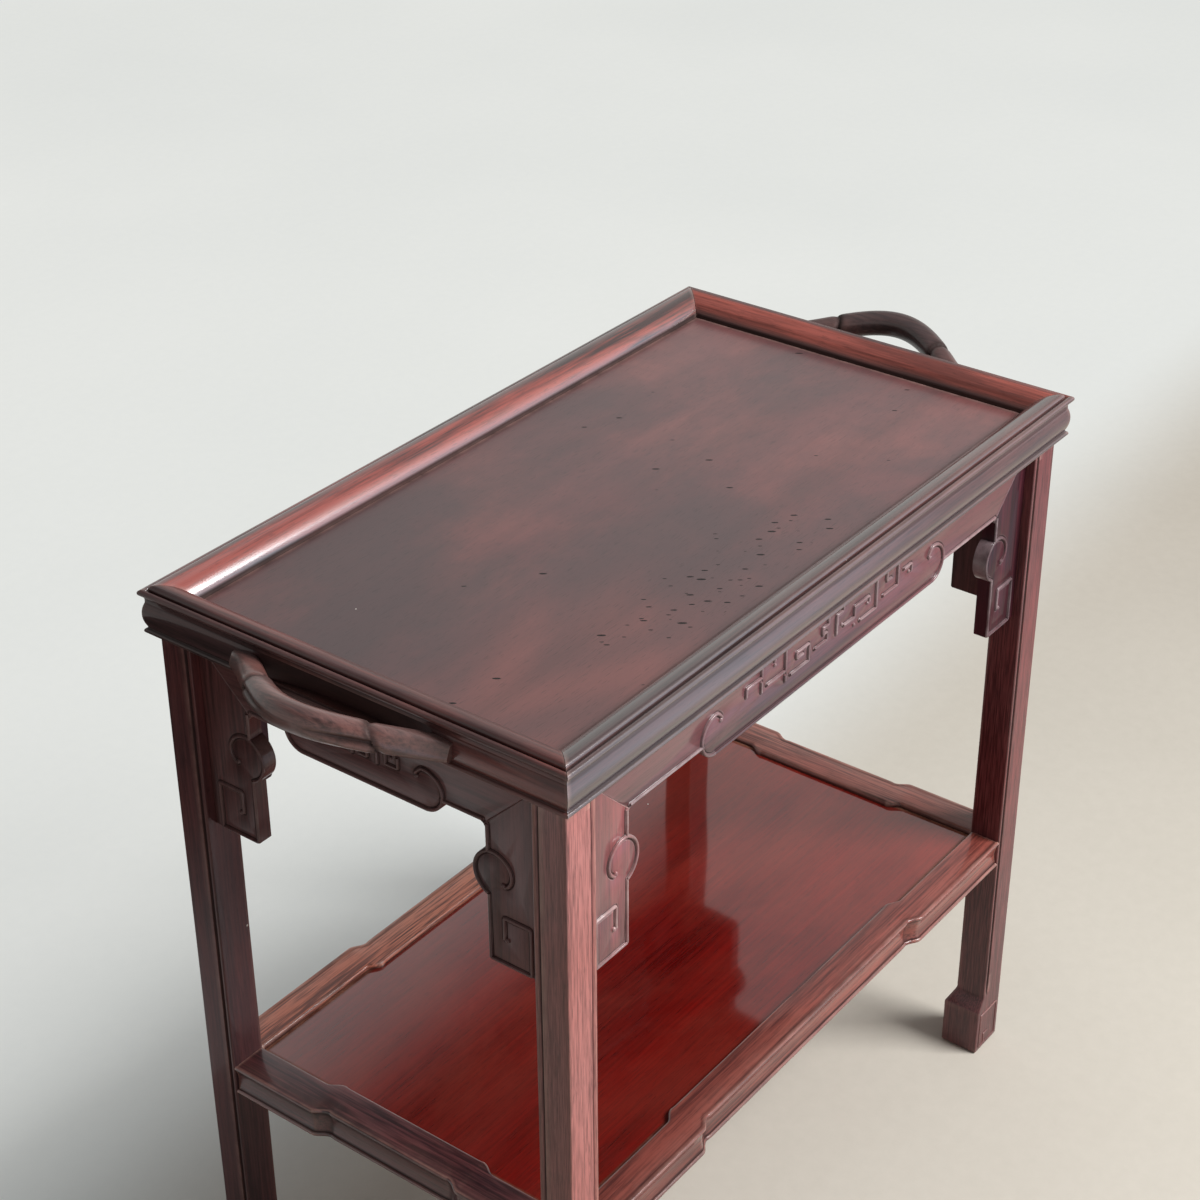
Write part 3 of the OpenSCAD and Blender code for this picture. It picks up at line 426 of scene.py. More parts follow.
# the ends, the back legs, the right front leg, the left shelf rail and most long-side spandrels take the
# darker tones, which are painted shade
FINISH = {
    "rim front": wood("front rim, grain along x", "x", **FRONT_RIM,
        **dict(RIM_LOOK, coat=1.0, coat_ior=1.68)),
    "rim x": wood("back rim, grain along x", "x", seed=0.4, **BACK_RIM, **BACK_RIM_LOOK),
    "rim y": wood("rim, grain along y", "y", seed=3.1, **SIDE_RIM, **dict(RIM_LOOK, coat=0.45, shine=0.15)),
    "apron x": wood("long apron", "x", seed=0.7, painted_light_ends=(0.84, 0.8), **APRON, **CARVED),
    "apron y": wood("end apron", "y", seed=3.8, **SIDE_BOARD, **SHADED),
    "spandrel front": wood("front spandrel", "z", seed=4.2, **BOARD, **CARVED),
    "spandrel dark": wood("darker long-side spandrel", "z", seed=4.9, **SHADED_BOARD, **DULL),
    "spandrel y": wood("end spandrel", "z", seed=7.3, **SIDE_BOARD, **SHADED),
    "shelf rail front": wood("front shelf rail", "x", seed=1.3, painted_light_ends=(0.8, 1.0), **FRONT_RAIL,
        **dict(RAIL_LOOK, haze_amount=0.06, contrast=1.1)),
    "shelf rail back": wood("back shelf rail, open grain", "x", seed=2.2, contrast=1.6, haze_amount=0.0,
        band_scale=60.0, fibre=4.5, fibre_scale=640.0, wear=0.9, **BACK_RAIL),
    "shelf rail left": wood("left shelf rail", "y", seed=4.4, **SIDE_RAILS, **RAIL_LOOK),
    "shelf rail right": wood("right shelf rail", "y", seed=2.9, **RAILS, **dict(RAIL_LOOK, coat=0.4)),
    "leg front": wood("front leg, upright grain", "z", seed=5.5, haze_amount=0.2, contrast=0.7, fibre=3.4,
        fibre_scale=1000.0, scuffed=0.5, flank_shade=0.5, **UPRIGHT),
    "leg right": wood("front right leg, upright grain", "z", seed=5.7, haze_amount=0.3, contrast=0.8,
        fibre=3.0, fibre_scale=900.0, wear=0.5, scuffed=0.05, flank_shade=0.9, **RIGHT_UPRIGHT),
    "leg back": wood("back leg, upright grain", "z", seed=5.9, haze_amount=0.4, contrast=1.3, fibre=2.2,
        coat=0.1, wear=0.5, shine=0.12, scuffed=0.7, **BACK_UPRIGHT),
    "handle left": wood("left handle, grain along the bar", "y", seed=6.1, **HANDLE, **HANDLE_LOOK),
    "handle right": wood("right handle, grain along the bar", "y", seed=6.6, **RIGHT_HANDLE,
        **dict(HANDLE_LOOK, coat=0.35)),
    "tray board": wood("tray board", "x", seed=7.4, knocks=1.5, patch=10.0, ruddy=0.42, haze_amount=0.7,
        coat=0.72, fibre=0.4, coat_rough=0.2, rough=0.4, contrast=0.45, band_scale=22.0,
        painted_light_ends=(0.88, 1.18), **TRAY),
    "shelf board": wood("shelf board", "x", seed=8.6, patch=9.0, rough=0.34, haze_amount=0.4, contrast=0.8,
        fibre=1.8, coat=1.0, coat_rough=0.06, coat_ior=1.84, waves=0.15, shine=0.05,
        painted_light_ends=(0.86, 1.25), **SHELF),
    "batten": wood("batten", "y", seed=9.9, rough=0.6, coat=0.05, **BOARD),
}
print("finishes:", ", ".join(FINISH))

# %% [markdown]
# ## Finishing a piece
# Every piece goes through the same last steps: its vertices are marked where the surface stands proud or
# lies hollow, and it is turned to its side and brought from millimetres to metres. A vertex stands proud
# where its neighbours lie below its tangent plane. The marks become the worn edges and the dark hollows of
# the finishes, so wear appears exactly where a hand or a cloth would rub. The hollows are darkened by dirt
# and by painted shade, and they also take the marks that a piece's drawing gives for its grooves,
# recesses and corners.

# %% Marks for wear, dirt and painted shade
# faces larger than this, in square millimetres, stay unmarked
BROAD = 120.0


def mark_share(bend):
    return min(1.0, max(0.0, bend - 0.03) / 0.16)


def mark_relief(mesh):
    """Stores how far each corner stands proud (edge) or lies hollow (hollow)."""
    proud = [0.0] * len(mesh.vertices)
    count = [0] * len(mesh.vertices)
    for edge in mesh.edges:
        a, b = (mesh.vertices[i] for i in edge.vertices)
        line = a.co - b.co
        if line.length > 1e-7:
            line.normalize()
            proud[a.index] += a.normal.dot(line)
            proud[b.index] -= b.normal.dot(line)
            count[a.index] += 1
            count[b.index] += 1
    proud = [p / max(1, c) for p, c in zip(proud, count)]
    given = mesh.attributes.get("groove")
    extra = [item.value for item in given.data] if given else [0.0] * len(mesh.vertices)
    edge = mesh.attributes.new("edge", "FLOAT", "CORNER")
    hollow = mesh.attributes.new("hollow", "FLOAT", "CORNER")
    for face in mesh.polygons:
        flat = face.area > BROAD or not face.use_smooth
        for corner in face.loop_indices:
            vertex = mesh.loops[corner].vertex_index
            edge.data[corner].value = 0.0 if flat else mark_share(proud[vertex])
            hollow.data[corner].value = max(extra[vertex], 0.0 if flat else mark_share(-proud[vertex]))
    if given:
        mesh.attributes.remove(mesh.attributes["groove"])


print("relief marks ready")

# %% A piece in its place
PIECES = []
# edges that turn by more than this are shaded sharp
SHARP = math.radians(38)


def put(name, mesh, side, finish, node, mirrored=False):
    """Turns a mesh in millimetres into a finished piece on its side of the table."""
    matrix = TO_SIDE[side] @ MIRROR if mirrored else TO_SIDE[side]
    mesh.name = name
    mark_relief(mesh)
    mesh.transform(Matrix.Scale(0.001, 4) @ matrix)
    if matrix.determinant() < 0:
        mesh.flip_normals()
    mesh.set_sharp_from_angle(angle=SHARP)
    mesh.materials.clear()
    mesh.materials.append(FINISH[finish])
    piece = place_object(name, mesh)
    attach(piece, "root")
    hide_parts(node)
    PIECES.append(piece)


def close_up(mesh, merge=0.001, extras=(), flat_ground=False):
    """Merges doubled points, turns the faces outwards, shades them round and adds extra meshes."""
    work = bmesh.new()
    work.from_mesh(mesh)
    bmesh.ops.remove_doubles(work, verts=work.verts, dist=merge)
    bmesh.ops.recalc_face_normals(work, faces=work.faces)
    for face in work.faces:
        face.smooth = not flat_ground or abs(face.normal.z) < 0.9999
    for extra in extras:
        work.from_mesh(extra)
    work.to_mesh(mesh)
    work.free()
    return mesh


def marked_mesh(name, points, edges, faces, **marks):
    """A mesh whose points carry named marks."""
    mesh = bpy.data.meshes.new(name)
    mesh.from_pydata(points, edges, faces)
    for title, values in marks.items():
        mesh.attributes.new(title, "FLOAT", "POINT").data.foreach_set("value", values)
    return mesh


def stack(name, rings, extras=(), **marks):
    """A closed mesh through a stack of rings with equally many points."""
    m, last = len(rings[0]), len(rings) - 1
    faces = [tuple(range(m)), tuple(range(last * m, last * m + m))[::-1]]
    faces += [(i * m + k, (i + 1) * m + k, (i + 1) * m + (k + 1) % m, i * m + (k + 1) % m)
              for i in range(last) for k in range(m)]
    return close_up(marked_mesh(name, [p for ring in rings for p in ring], [], faces, **marks), extras=extras)


print("placing helper ready")

# %% [markdown]
# ## Moulded rails
# The tray's rim and the shelf's rails are made with moulding planes: one section, run along a straight
# stick, then mitred or tenoned at the ends. That is a rule, so a Geometry Nodes tree makes all eight
# rails. It sweeps the section along a line, cuts the ends to the mitre by moving each point in
# proportion to its distance from the outer edge, sinks the finger recess where the section is marked,
# and shifts the edges inwards where a rail has ogees.

# %% Tree: moulded rail
def finish_tree(tree, take, made, title):
    """Ends a geometry tree: real points, the finish and the result."""
    whole = add(tree, "GeometryNodeRealizeInstances", (made,))[0]
    whole = add(tree, "GeometryNodeSetMaterial", {"Geometry": whole, "Material": take["Finish"]})[0]
    add(tree, "NodeGroupOutput", {title: whole})


def mark_in(tree, title):
    """A mark that the drawing's points carry."""
    return add(tree, "GeometryNodeInputNamedAttribute", {"Name": title})[0]


def make_rail_tree():
    tree, take = new_tree("moulded rail", "GeometryNodeTree",
        [("Section", "Geometry"), ("Length", "Float", 700.0), ("Rings", "Int", 160),
         ("Outer edge", "Float", 200.0), ("Underside", "Float", 660.0), ("Mitre", "Float", 1.0),
         ("Recess length", "Float", 190.0), ("Recess depth", "Float", 0.0), ("Step", "Float", 0.0),
         ("Step at", "Float", 100.0), ("Step length", "Float", 13.0), ("Step lag", "Float", 10.0),
         ("Unevenness", "Float", 0.12), ("Seed", "Float", 0.0), ("Finish", "Material")],
        ("Rail",), "Geometry")
    half = take["Length"] * 0.5
    start, end = (add(tree, "CombineXYZ", (x,))[0] for x in (half * -1.0, half))
    line = add(tree, "GeometryNodeCurvePrimitiveLine", {"Start": start, "End": end})[0]
    line = add(tree, "GeometryNodeResampleCurve", {"Curve": line, "Count": take["Rings"]})[0]
    line = add(tree, "GeometryNodeSetCurveNormal", {"Curve": line}, mode="Z_UP")[0]
    section = add(tree, "GeometryNodeMeshToCurve", (take["Section"],))[0]
    swept = add(tree, "GeometryNodeCurveToMesh",
        {"Curve": line, "Profile Curve": section, "Fill Caps": True})[0]
    here = split(add(tree, "GeometryNodeInputPosition")[0])
    inset, height = here[1] * -1.0, here[2] * -1.0
    x = here[0] - here[0] / half * inset * take["Mitre"]
    # the finger recess is a shallow curve that runs out at both ends
    reach = x * 2.0 / take["Recess length"]
    sink = (1.0 - reach * reach) * take["Recess depth"]
    deeper = mark_in(tree, "recess") * (inset.calc("MAXIMUM", sink) - inset)
    # the ogees: the outer edge steps first and the inner edge a little nearer the leg
    middle = take["Step at"] + mark_in(tree, "inner") * take["Step lag"]
    run = (x.calc("ABSOLUTE") - middle) / take["Step length"]
    nib = (run + 0.62) * 6.0
    nib = add(tree, "Math", (2.718, nib * nib * -1.0), operation="POWER")[0]
    rise = run.ramp(-0.5, 0.5, 1.0, 0.0, soft=True) + nib * 0.1
    y = inset + deeper + rise * take["Step"] - take["Outer edge"]
    placed = add(tree, "CombineXYZ", (x, y, height + take["Underside"]))[0]
    # hand planing leaves the surface a hair uneven
    sway = add(tree, "TexNoise", {"Vector": placed, "W": take["Seed"], "Scale": 0.018, "Detail": 1.0},
        noise_dimensions="4D")["Color"]
    sway = sway.vector("SUBTRACT", (0.5, 0.5, 0.5)).vector("MULTIPLY", take["Unevenness"])
    # dirt and painted shade are marked in the recess and where the section says so, before the points move
    dirty = deeper.calc("MULTIPLY", 0.16, clamp=True).calc("MAXIMUM", mark_in(tree, "dirt"))
    marked = add(tree, "GeometryNodeStoreNamedAttribute",
        {"Geometry": swept, "Name": "groove", "Value": dirty}, data_type="FLOAT", domain="POINT")[0]
    moved = add(tree, "GeometryNodeSetPosition",
        {"Geometry": marked, "Position": placed.vector("ADD", sway)})[0]
    merged = add(tree, "GeometryNodeMergeByDistance", {"Geometry": moved, "Distance": 0.004})[0]
    finish_tree(tree, take, merged, "Rail")
    return tree


RAIL_TREE = make_rail_tree()
print("made the tree", RAIL_TREE.name)

# %% Running a tree on a drawing
def grow(tree, drawing, **values):
    """Puts a tree on a drawing, sets its inputs by identifier and returns the result as a plain mesh."""
    values = {title.replace("_", " "): value for title, value in values.items()}
    holder = place_object("drawing", drawing)
    modifier = holder.modifiers.new("grow", "NODES")
    modifier.node_group = tree
    for item in tree.interface.items_tree:
        if item.in_out == "INPUT" and item.name in values:
            modifier[item.identifier] = values[item.name]
    result = bpy.data.meshes.new_from_object(holder.evaluated_get(bpy.context.evaluated_depsgraph_get()))
    holder.modifiers.remove(modifier)
    bpy.data.objects.remove(holder)
    result.shade_smooth()
    return result


def draw_section(points, **marks):
    """A closed section as a drawing for the rail tree, with marks on its points."""
    count = len(points)
    edges = [(i, (i + 1) % count) for i in range(count)]
    marks = {title: [float(value) for value in values] for title, values in marks.items()}
    return marked_mesh("section", [(u, v, 0) for u, v in points], edges, [], **marks)


print("tree runner ready")

# %% [markdown]
# ## The tray's rim
# The rim's outer face carries, from the bottom, a thin bead, a cove, a long swelling, a fine groove and a
# bead along the top edge. Above it the ridge is round, and from there one smooth slope falls to the
# board. The section is drawn once. Where the finger recess starts and ends the section has two points in
# one place: one stays and the other sinks, which gives the recess its crisp edges.

# %% Section of the rim
RIDGE_IN, RIDGE_R, EDGE_BEAD_R, LOW_BEAD_R = 9.5, 3.5, 2.6, 2
SWELL_H, SWELL_OUT, SWELL_MID, WALL_IN = 20, 2.2, 16.5, 3.6
RECESS_H, RECESS_L, RECESS_D, MITRE_GAP, PANEL_GAP = 20.5, 190.0, 12.0, 0.4, 0.1
# only points this near the outer edge can lie in the finger recess
OUTER_PART = 6


def rim_section():
    """The rim's section: distances in from its outer edge and up from its underside."""
    swell_r = (SWELL_H ** 2 / 4 + SWELL_OUT ** 2) / (2 * SWELL_OUT)
    swell_a = math.degrees(math.asin(SWELL_H / 2 / swell_r))
    slope = RIM_W - RIDGE_IN
    slope_r = (slope ** 2 + PANEL_SINK ** 2) / (2 * PANEL_SINK)
    slope_end = math.degrees(math.atan2(slope_r - PANEL_SINK, slope))
    lip = RIM_W + RIM_LIP - PANEL_GAP
    seat = RIM_H - PANEL_SINK - PANEL_T - PANEL_GAP
    points = [(6, 0), (lip, 0), (lip, seat), (RIM_W, seat), (RIM_W, RIM_H - PANEL_SINK)]
    points += arc((RIDGE_IN, RIM_H - slope_r), slope_r, slope_end, 90, 14)
    points += arc((RIDGE_IN, RIM_H - RIDGE_R), RIDGE_R, 100, 196, 9) + [(5.6, 35.35)]
    points += arc((EDGE_BEAD_R, 34.6), EDGE_BEAD_R, 20, 255, 16) + [(3.3, 31.2), (3.7, 29.2)]
    points += arc((WALL_IN - SWELL_OUT + swell_r, SWELL_MID), swell_r, 180 - swell_a, 180 + swell_a, 18)
    return points + [(3.9, 6.0), (3.8, 5.2)] + arc((3.6, 2.5), LOW_BEAD_R, 100, 262, 9)


def split_for_recess(points, low, high):
    """Doubles the section's outer points at the recess's edges and marks those between them."""
    cut = []
    for i, point in enumerate(points):
        before = points[i - 1]
        if i and point[0] < OUTER_PART and before[0] < OUTER_PART:
            for level in (high, low):
                if (before[1] - level) * (point[1] - level) < 0:
                    t = (before[1] - level) / (before[1] - point[1])
                    cut += [(before[0] + (point[0] - before[0]) * t, level)] * 2
        cut.append(point)
    marks = []
    for i, (u, v) in enumerate(cut):
        inside = u < OUTER_PART and low < v < high
        if u < OUTER_PART and v in (low, high):
            inside = (v == high) != (cut[i + 1] == (u, v))
        marks.append(inside)
    return cut, marks


RIM_POINTS = rim_section()
print("the rim's section has", len(RIM_POINTS), "points")

# %% The four rim rails
# how far the polish is rubbed off the slope on each side, which on the shaded right slope is painted
# light as well, and the height above which the slope lies
RUBBED_AND_LIT, SLOPE_FROM = {"front": 0.05, "back": 0.9, "left": 0.3, "right": 1.0}, 20
for side in TO_SIDE:
    short = side in SHORT_SIDES
    points, recessed = RIM_POINTS, [0] * len(RIM_POINTS)
    if short:
        points, recessed = split_for_recess(RIM_POINTS, SWELL_MID - RECESS_H / 2, SWELL_MID + RECESS_H / 2)
    rail = grow(RAIL_TREE,
        draw_section(points, recess=recessed, inner=[0] * len(points),
            # the foot of the slope by the board is darkened: dirt and painted shade in the corner
            dirt=[u > RIM_W - 0.8 and v > 13 for u, v in points],
            rub=[RUBBED_AND_LIT[side] * ease((u - 10) / 4) * ease((RIM_W - u) / 4) * (v > SLOPE_FROM)
                for u, v in points]),
        Length=(WIDE if short else LONG) - MITRE_GAP, Rings=161 if short else 141, Outer_edge=OUT_TO[side],
        Underside=float(RIM_Z), Recess_length=RECESS_L, Recess_depth=RECESS_D if short else 0.0,
        Seed=float(len(PIECES)), Mitre=1.0)
    finish = "rim y" if short else "rim front" if side == "front" else "rim x"
    put("rim_" + side, rail, side, finish, "top_rail_" + side)
print("rim rails:", [p.name for p in PIECES], "faces", len(PIECES[-1].data.polygons))

# %% [markdown]
# ## The shelf's rails
# The lower rails are flat on top with a bead along the outer edge, a hollow face and a second bead below.
# Between the legs they step inwards through small ogees, on the inner edge a little nearer the leg than
# on the outer one. The same tree makes them, without a mitre: they end at the legs.

# %% The four shelf rails
TOP_BEAD_R, FOOT_BEAD_R, ROUND_R, RING_STEP, OGEE_DEPTH = 1.6, 2, 3, 2.5, 6.5


def shelf_section(width):
    top = SHELF_H - SHELF_SINK
    points = [(4.2, 0), (width, 0), (width, 19.6), (width, top - 0.5)]
    points += arc((width - ROUND_R, SHELF_H - ROUND_R), ROUND_R, 0, 90, 6)
    points += [(width * 0.62, SHELF_H - 0.15), (6, SHELF_H - 0.1), (4.2, SHELF_H - 0.45)]
    points += arc((TOP_BEAD_R, SHELF_H - TOP_BEAD_R), TOP_BEAD_R, 100, 240, 9)
    points += [(0.8 + 1.4 * t + 8.0 * t * (1 - t), 25.5 - 21.1 * t) for t in (i / 10 for i in range(1, 10))]
    return points + arc((2.2, 2.4), FOOT_BEAD_R, 90, 260, 9)


for side in TO_SIDE:
    # the last of the three is how far the ogee stands from the leg
    span, width, ogee_in = (SPAN_W, LEG_W, 90) if side in SHORT_SIDES else (SPAN_L, LEG_D, 145)
    points = shelf_section(width)
    rail = grow(RAIL_TREE,
        draw_section(points, recess=[0] * len(points), inner=[u > width * 0.5 for u, v in points],
            # the inner face by the panel is darkened: dirt and painted shade in the corner
            dirt=[u > width - 0.5 and v < SHELF_H - 4 for u, v in points]),
        Length=float(span), Rings=int(span / RING_STEP) + 1, Outer_edge=OUT_TO[side] - LEG_IN,
        Underside=float(SHELF_Z - SHELF_H), Mitre=0.0, Step=OGEE_DEPTH, Step_at=span / 2 - ogee_in,
        Seed=20.0 + len(PIECES))
    put("shelf_rail_moulded_" + side, rail, side, "shelf rail " + side, "shelf_rail_" + side)
print("shelf rails have", len(PIECES[-1].data.polygons), "faces each")

# %% [markdown]
# ## Carved boards
# Aprons and spandrels are sawn to their outline and then carved: the ground is cut down beside a raised
# round line that follows the free edges, curls into scrolls and ends in a small ball. The board is a mesh
# of its outline with the groove beside each line cut into its face. The lines themselves follow paths, so
# a Geometry Nodes tree lays a half-round bead along each path and a ball at each end mark.

# %% Tree: carved lines
def make_line_tree():
    tree, take = new_tree("carved lines", "GeometryNodeTree",
        [("Paths", "Geometry"), ("Line height", "Float", 1.25), ("Ball height", "Float", 1.7),
         ("Sides", "Int", 14), ("Finish", "Material")], ("Lines",), "Geometry")
    sized = mark_in(tree, "width") * 0.5
    curves = add(tree, "GeometryNodeMeshToCurve", (take["Paths"],))[0]
    ring = add(tree, "GeometryNodeCurvePrimitiveCircle", {"Resolution": take["Sides"], "Radius": 1.0})[0]
    beads = add(tree, "GeometryNodeCurveToMesh", {"Curve": curves, "Profile Curve": ring, "Scale": sized,
        "Fill Caps": True})[0]
    here = split(add(tree, "GeometryNodeInputPosition")[0])
    lower = take["Line height"] / sized.calc("MAXIMUM", 0.01)
    flat = add(tree, "CombineXYZ", (here[0], here[1], here[2] * lower))[0]
    beads = add(tree, "GeometryNodeSetPosition", {"Geometry": beads, "Position": flat})[0]
    balls = add(tree, "GeometryNodeMeshUVSphere", {"Segments": 16, "Rings": 10, "Radius": 1.0})[0]
    size = mark_in(tree, "ball")
    tall = add(tree, "CombineXYZ", (size, size, take["Ball height"]))[0]
    dots = add(tree, "GeometryNodeInstanceOnPoints", {"Points": take["Paths"], "Instance": balls,
        "Scale": tall, "Selection": size.calc("GREATER_THAN", 0.1)})[0]
    both = add(tree, "GeometryNodeJoinGeometry", (beads,))[0]
    tree.links.new(dots.socket, both.socket.node.inputs[0])
    finish_tree(tree, take, both, "Lines")
    return tree


LINE_TREE = make_line_tree()
print("made the tree", LINE_TREE.name)

# %% Paths with softened corners
def soften(path, radius=0.9):
    """Replaces each sharp corner of a path by three points on a small bend."""
    result = [path[0]]
    for before, corner, after in zip(path, path[1:], path[2:]):
        a, c, b = Vector(before), Vector(corner), Vector(after)
        into, out = (a - c), (b - c)
        if into.angle(out) > math.radians(150):
            result.append(corner)
            continue
        reach = min(radius, into.length * 0.4, out.length * 0.4)
        p, q = c + into.normalized() * reach, c + out.normalized() * reach
        result += [tuple(p), tuple(c * 0.5 + (p + q) * 0.25), tuple(q)]
    return result + [path[-1]]


def draw_paths(paths, balls):
    """Paths with their widths, and balls with their radii, as one drawing for the line tree."""
    points, edges, widths, sizes = [], [], [], []
    for path, width in paths:
        first = len(points)
        points += [(x, y, 0) for x, y in path]
        edges += [(first + i, first + i + 1) for i in range(len(path) - 1)]
        widths += [width] * len(path)
        sizes += [0.0] * len(path)
    for (x, y), radius in balls:
        points.append((x, y, 0))
        widths.append(0.0)
        sizes.append(radius)
    return marked_mesh("paths", points, edges, [], width=widths, ball=sizes)


print("path drawing ready")

# %% A board with grooves beside its lines
# a line's groove starts under the line, is deepest at its foot and ends at the ground; the board's edges
# are eased by EASED
GROOVE_AT, GROOVE_DEPTH, EASED = (-0.25, 0.5, 1.9), 0.75, 0.5


def distance_to(point, paths):
    """Distance from a point to the nearest edge of any line."""
    best = 1e9
    for path, width in paths:
        for a, b in zip(path, path[1:]):
            ab, ap = b - a, point - a
            t = min(1, max(0, ap.dot(ab) / max(1e-9, ab.length_squared)))
            best = min(best, (ap - ab * t).length - width / 2)
    return best


def across(way):
    """The direction to the left of a way."""
    return Vector((-way.y, way.x))


def inset_outline(outline, amount):
    """The outline moved inwards, for an anticlockwise outline."""
    moved = []
    for i, point in enumerate(outline):
        a, c, b = Vector(outline[i - 1]), Vector(point), Vector(outline[(i + 1) % len(outline)])
        n1 = across((c - a).normalized())
        n = n1 + across((b - c).normalized())
        moved.append(c + n * (amount / max(0.35, n1.dot(n))))
    return moved


def loop_round(path, reach):
    """A closed line round a path, at one distance from it."""
    ways = [(path[min(i + 1, len(path) - 1)] - path[max(i - 1, 0)]).normalized() for i in range(len(path))]
    left = [p + across(d) * reach for p, d in zip(path, ways)]
    right = [p - across(d) * reach for p, d in zip(path, ways)]
    far, near = ([p + (across(d) * math.cos(a) + d * math.sin(a)) * reach for a in
        (math.pi / 4, math.pi / 2, math.pi * 3 / 4)] for p, d in ((path[-1], ways[-1]), (path[0], -ways[0])))
    return left + far + right[::-1] + near


def carved_board(outline, paths, balls):
    """A board lying in the XY plane with its face up, its grooves cut and its lines laid on it."""
    points = inset_outline(outline, EASED)
    n = len(outline)
    rim = [(points + points[:1], 0)]
    lines = [([Vector(p) for p in path], width) for path, width in paths]
    deep = [False] * n
    segments = []
    for path, width in lines:
        for offset in GROOVE_AT:
            loop = loop_round(path, width / 2 + offset)
            first = len(points)
            points = points + loop
            deep += [offset == GROOVE_AT[1]] * len(loop)
            segments += [(first + i, first + (i + 1) % len(loop)) for i in range(len(loop))]
    verts, _, faces, sources, _, origin = delaunay_2d_cdt(points, segments, [list(range(n))], 0, 1e-4)
    faces = [tuple(f) for f, source in zip(faces, origin) if source]
    depth = []
    for v, made_from in zip(verts, sources):
        if made_from:
            low = min(made_from) >= n and any(deep[i] for i in made_from)
        else:
            # two loops cross here, or a loop crosses the outline
            low = abs(distance_to(v, lines) - GROOVE_AT[1]) < 0.12 and distance_to(v, rim) > 0.01
        depth.append(float(low))
    base = len(verts)
    solid = [(v.x, v.y, -GROOVE_DEPTH * k) for v, k in zip(verts, depth)]
    solid += [(p.x, p.y, 0) for p in points[:n]]
    solid += [(x, y, z) for z in (-EASED, -BOARD_T) for x, y in outline]
    for low in (base, base + n):
        faces += [(low + i, low + (i + 1) % n, low + n + (i + 1) % n, low + n + i) for i in range(n)]
    faces.append(tuple(range(base + 2 * n, base + 3 * n)))
    # the groove beside each line is darkened: dirt and painted shade
    mesh = marked_mesh("board", solid, [], faces, groove=depth + [0.0] * (3 * n))
    # the flat ground stays flat, and only the grooves and edges are shaded round
    return close_up(mesh, 0.002, [grow(LINE_TREE, draw_paths(paths, balls))], True)


def stand_up(mesh, side):
    """Stands a board up on the front side, its face towards the front and as far out as on its own side."""
    mesh.transform(Matrix.Translation((0, BOARD_FACE - OUT_TO[side], RIM_Z)) @ UPRIGHT_TURN)
    return mesh


print("board carving ready")

# %% [markdown]
# ## The aprons
# Each apron is a long board that drops in its middle between two scrolls and is mitred into the
# spandrels at its ends. Between the scrolls stands a fret of broken key lines with small dots, a common
# old pattern. The strokes are given as distances from the middle and below the rim.

# %% Outline and lines of an apron
APRON_H, DROP_H, SCROLL_R, LINE_W, BALL_R, FRET_LINE, DOT_R = 46.5, 60, 18, 2.6, 2.0, 2.1, 1.6
SPANDREL_W, SPANDREL_H, FILL = 47.5, 165.5, 2.2
SCROLL_D = DROP_H - SCROLL_R
JOIN = -math.degrees(math.asin((APRON_H - SCROLL_D) / SCROLL_R))
MITRE_END = (SPANDREL_W + FILL, -APRON_H * (1 + FILL / SPANDREL_W))
FRET_LONG = [[(-115, 31), (-115, 24), (-95, 24), (-95, 13), (-78, 13), (-78, 18)], [(-95, 28), (-95, 37)],
    [(-88, 34), (-63, 34), (-63, 12)], [(-63, 38), (-63, 43)],
    [(-56, 41), (-31, 41), (-31, 26), (-48, 26), (-48, 31), (-39, 31)],
    [(-23, 35), (-6, 35), (-6, 28), (-12, 28), (-12, 22), (-4, 22), (-4, 13)],
    [(17, 13), (17, 20), (8, 20), (8, 37)], [(18, 34), (34, 34), (34, 25), (55, 25), (55, 30)],
    [(42, 41), (66, 41), (66, 13)],
    [(76, 35), (98, 35), (98, 13)], [(81, 13), (81, 24), (88, 24)], [(107, 25), (119, 25), (119, 31)]]
DOTS_LONG = [(-78, 21.5), (15, 31.5), (33, 40.5), (52, 30), (114, 30)]
FRET_SHORT = [[(-33, 26), (-33, 35), (-16, 35)], [(-24, 29), (-24, 21), (-10, 21)],
    [(-9, 38), (-9, 28), (5, 28), (5, 36), (-2, 36)], [(5, 20), (14, 20), (14, 38)],
    [(22, 20), (22, 35), (33, 35), (33, 26)]]
DOTS_SHORT = [(-16, 28), (27, 28)]


def winding(centre, radius, start, end, tight, pull, count):
    """A scroll's line: round the edge, then drawing in towards its middle."""
    path = []
    for i in range(count + 1):
        angle = start + (end - start) * i / count
        path += arc(centre, radius - LINE_W / 2 - pull * max(0, angle - tight), angle, angle, 1)[:1]
    return path


def ball_at(centre, path):
    """The place of the ball that ends a scroll, against the inner side of its line."""
    c, end = Vector(centre), Vector(path[-1])
    return tuple(c + (end - c) * (1 - BALL_R / (end - c).length))


def other_half(path):
    """The same path on the other side of the middle, run the other way."""
    return [(-x, y) for x, y in reversed(path)]


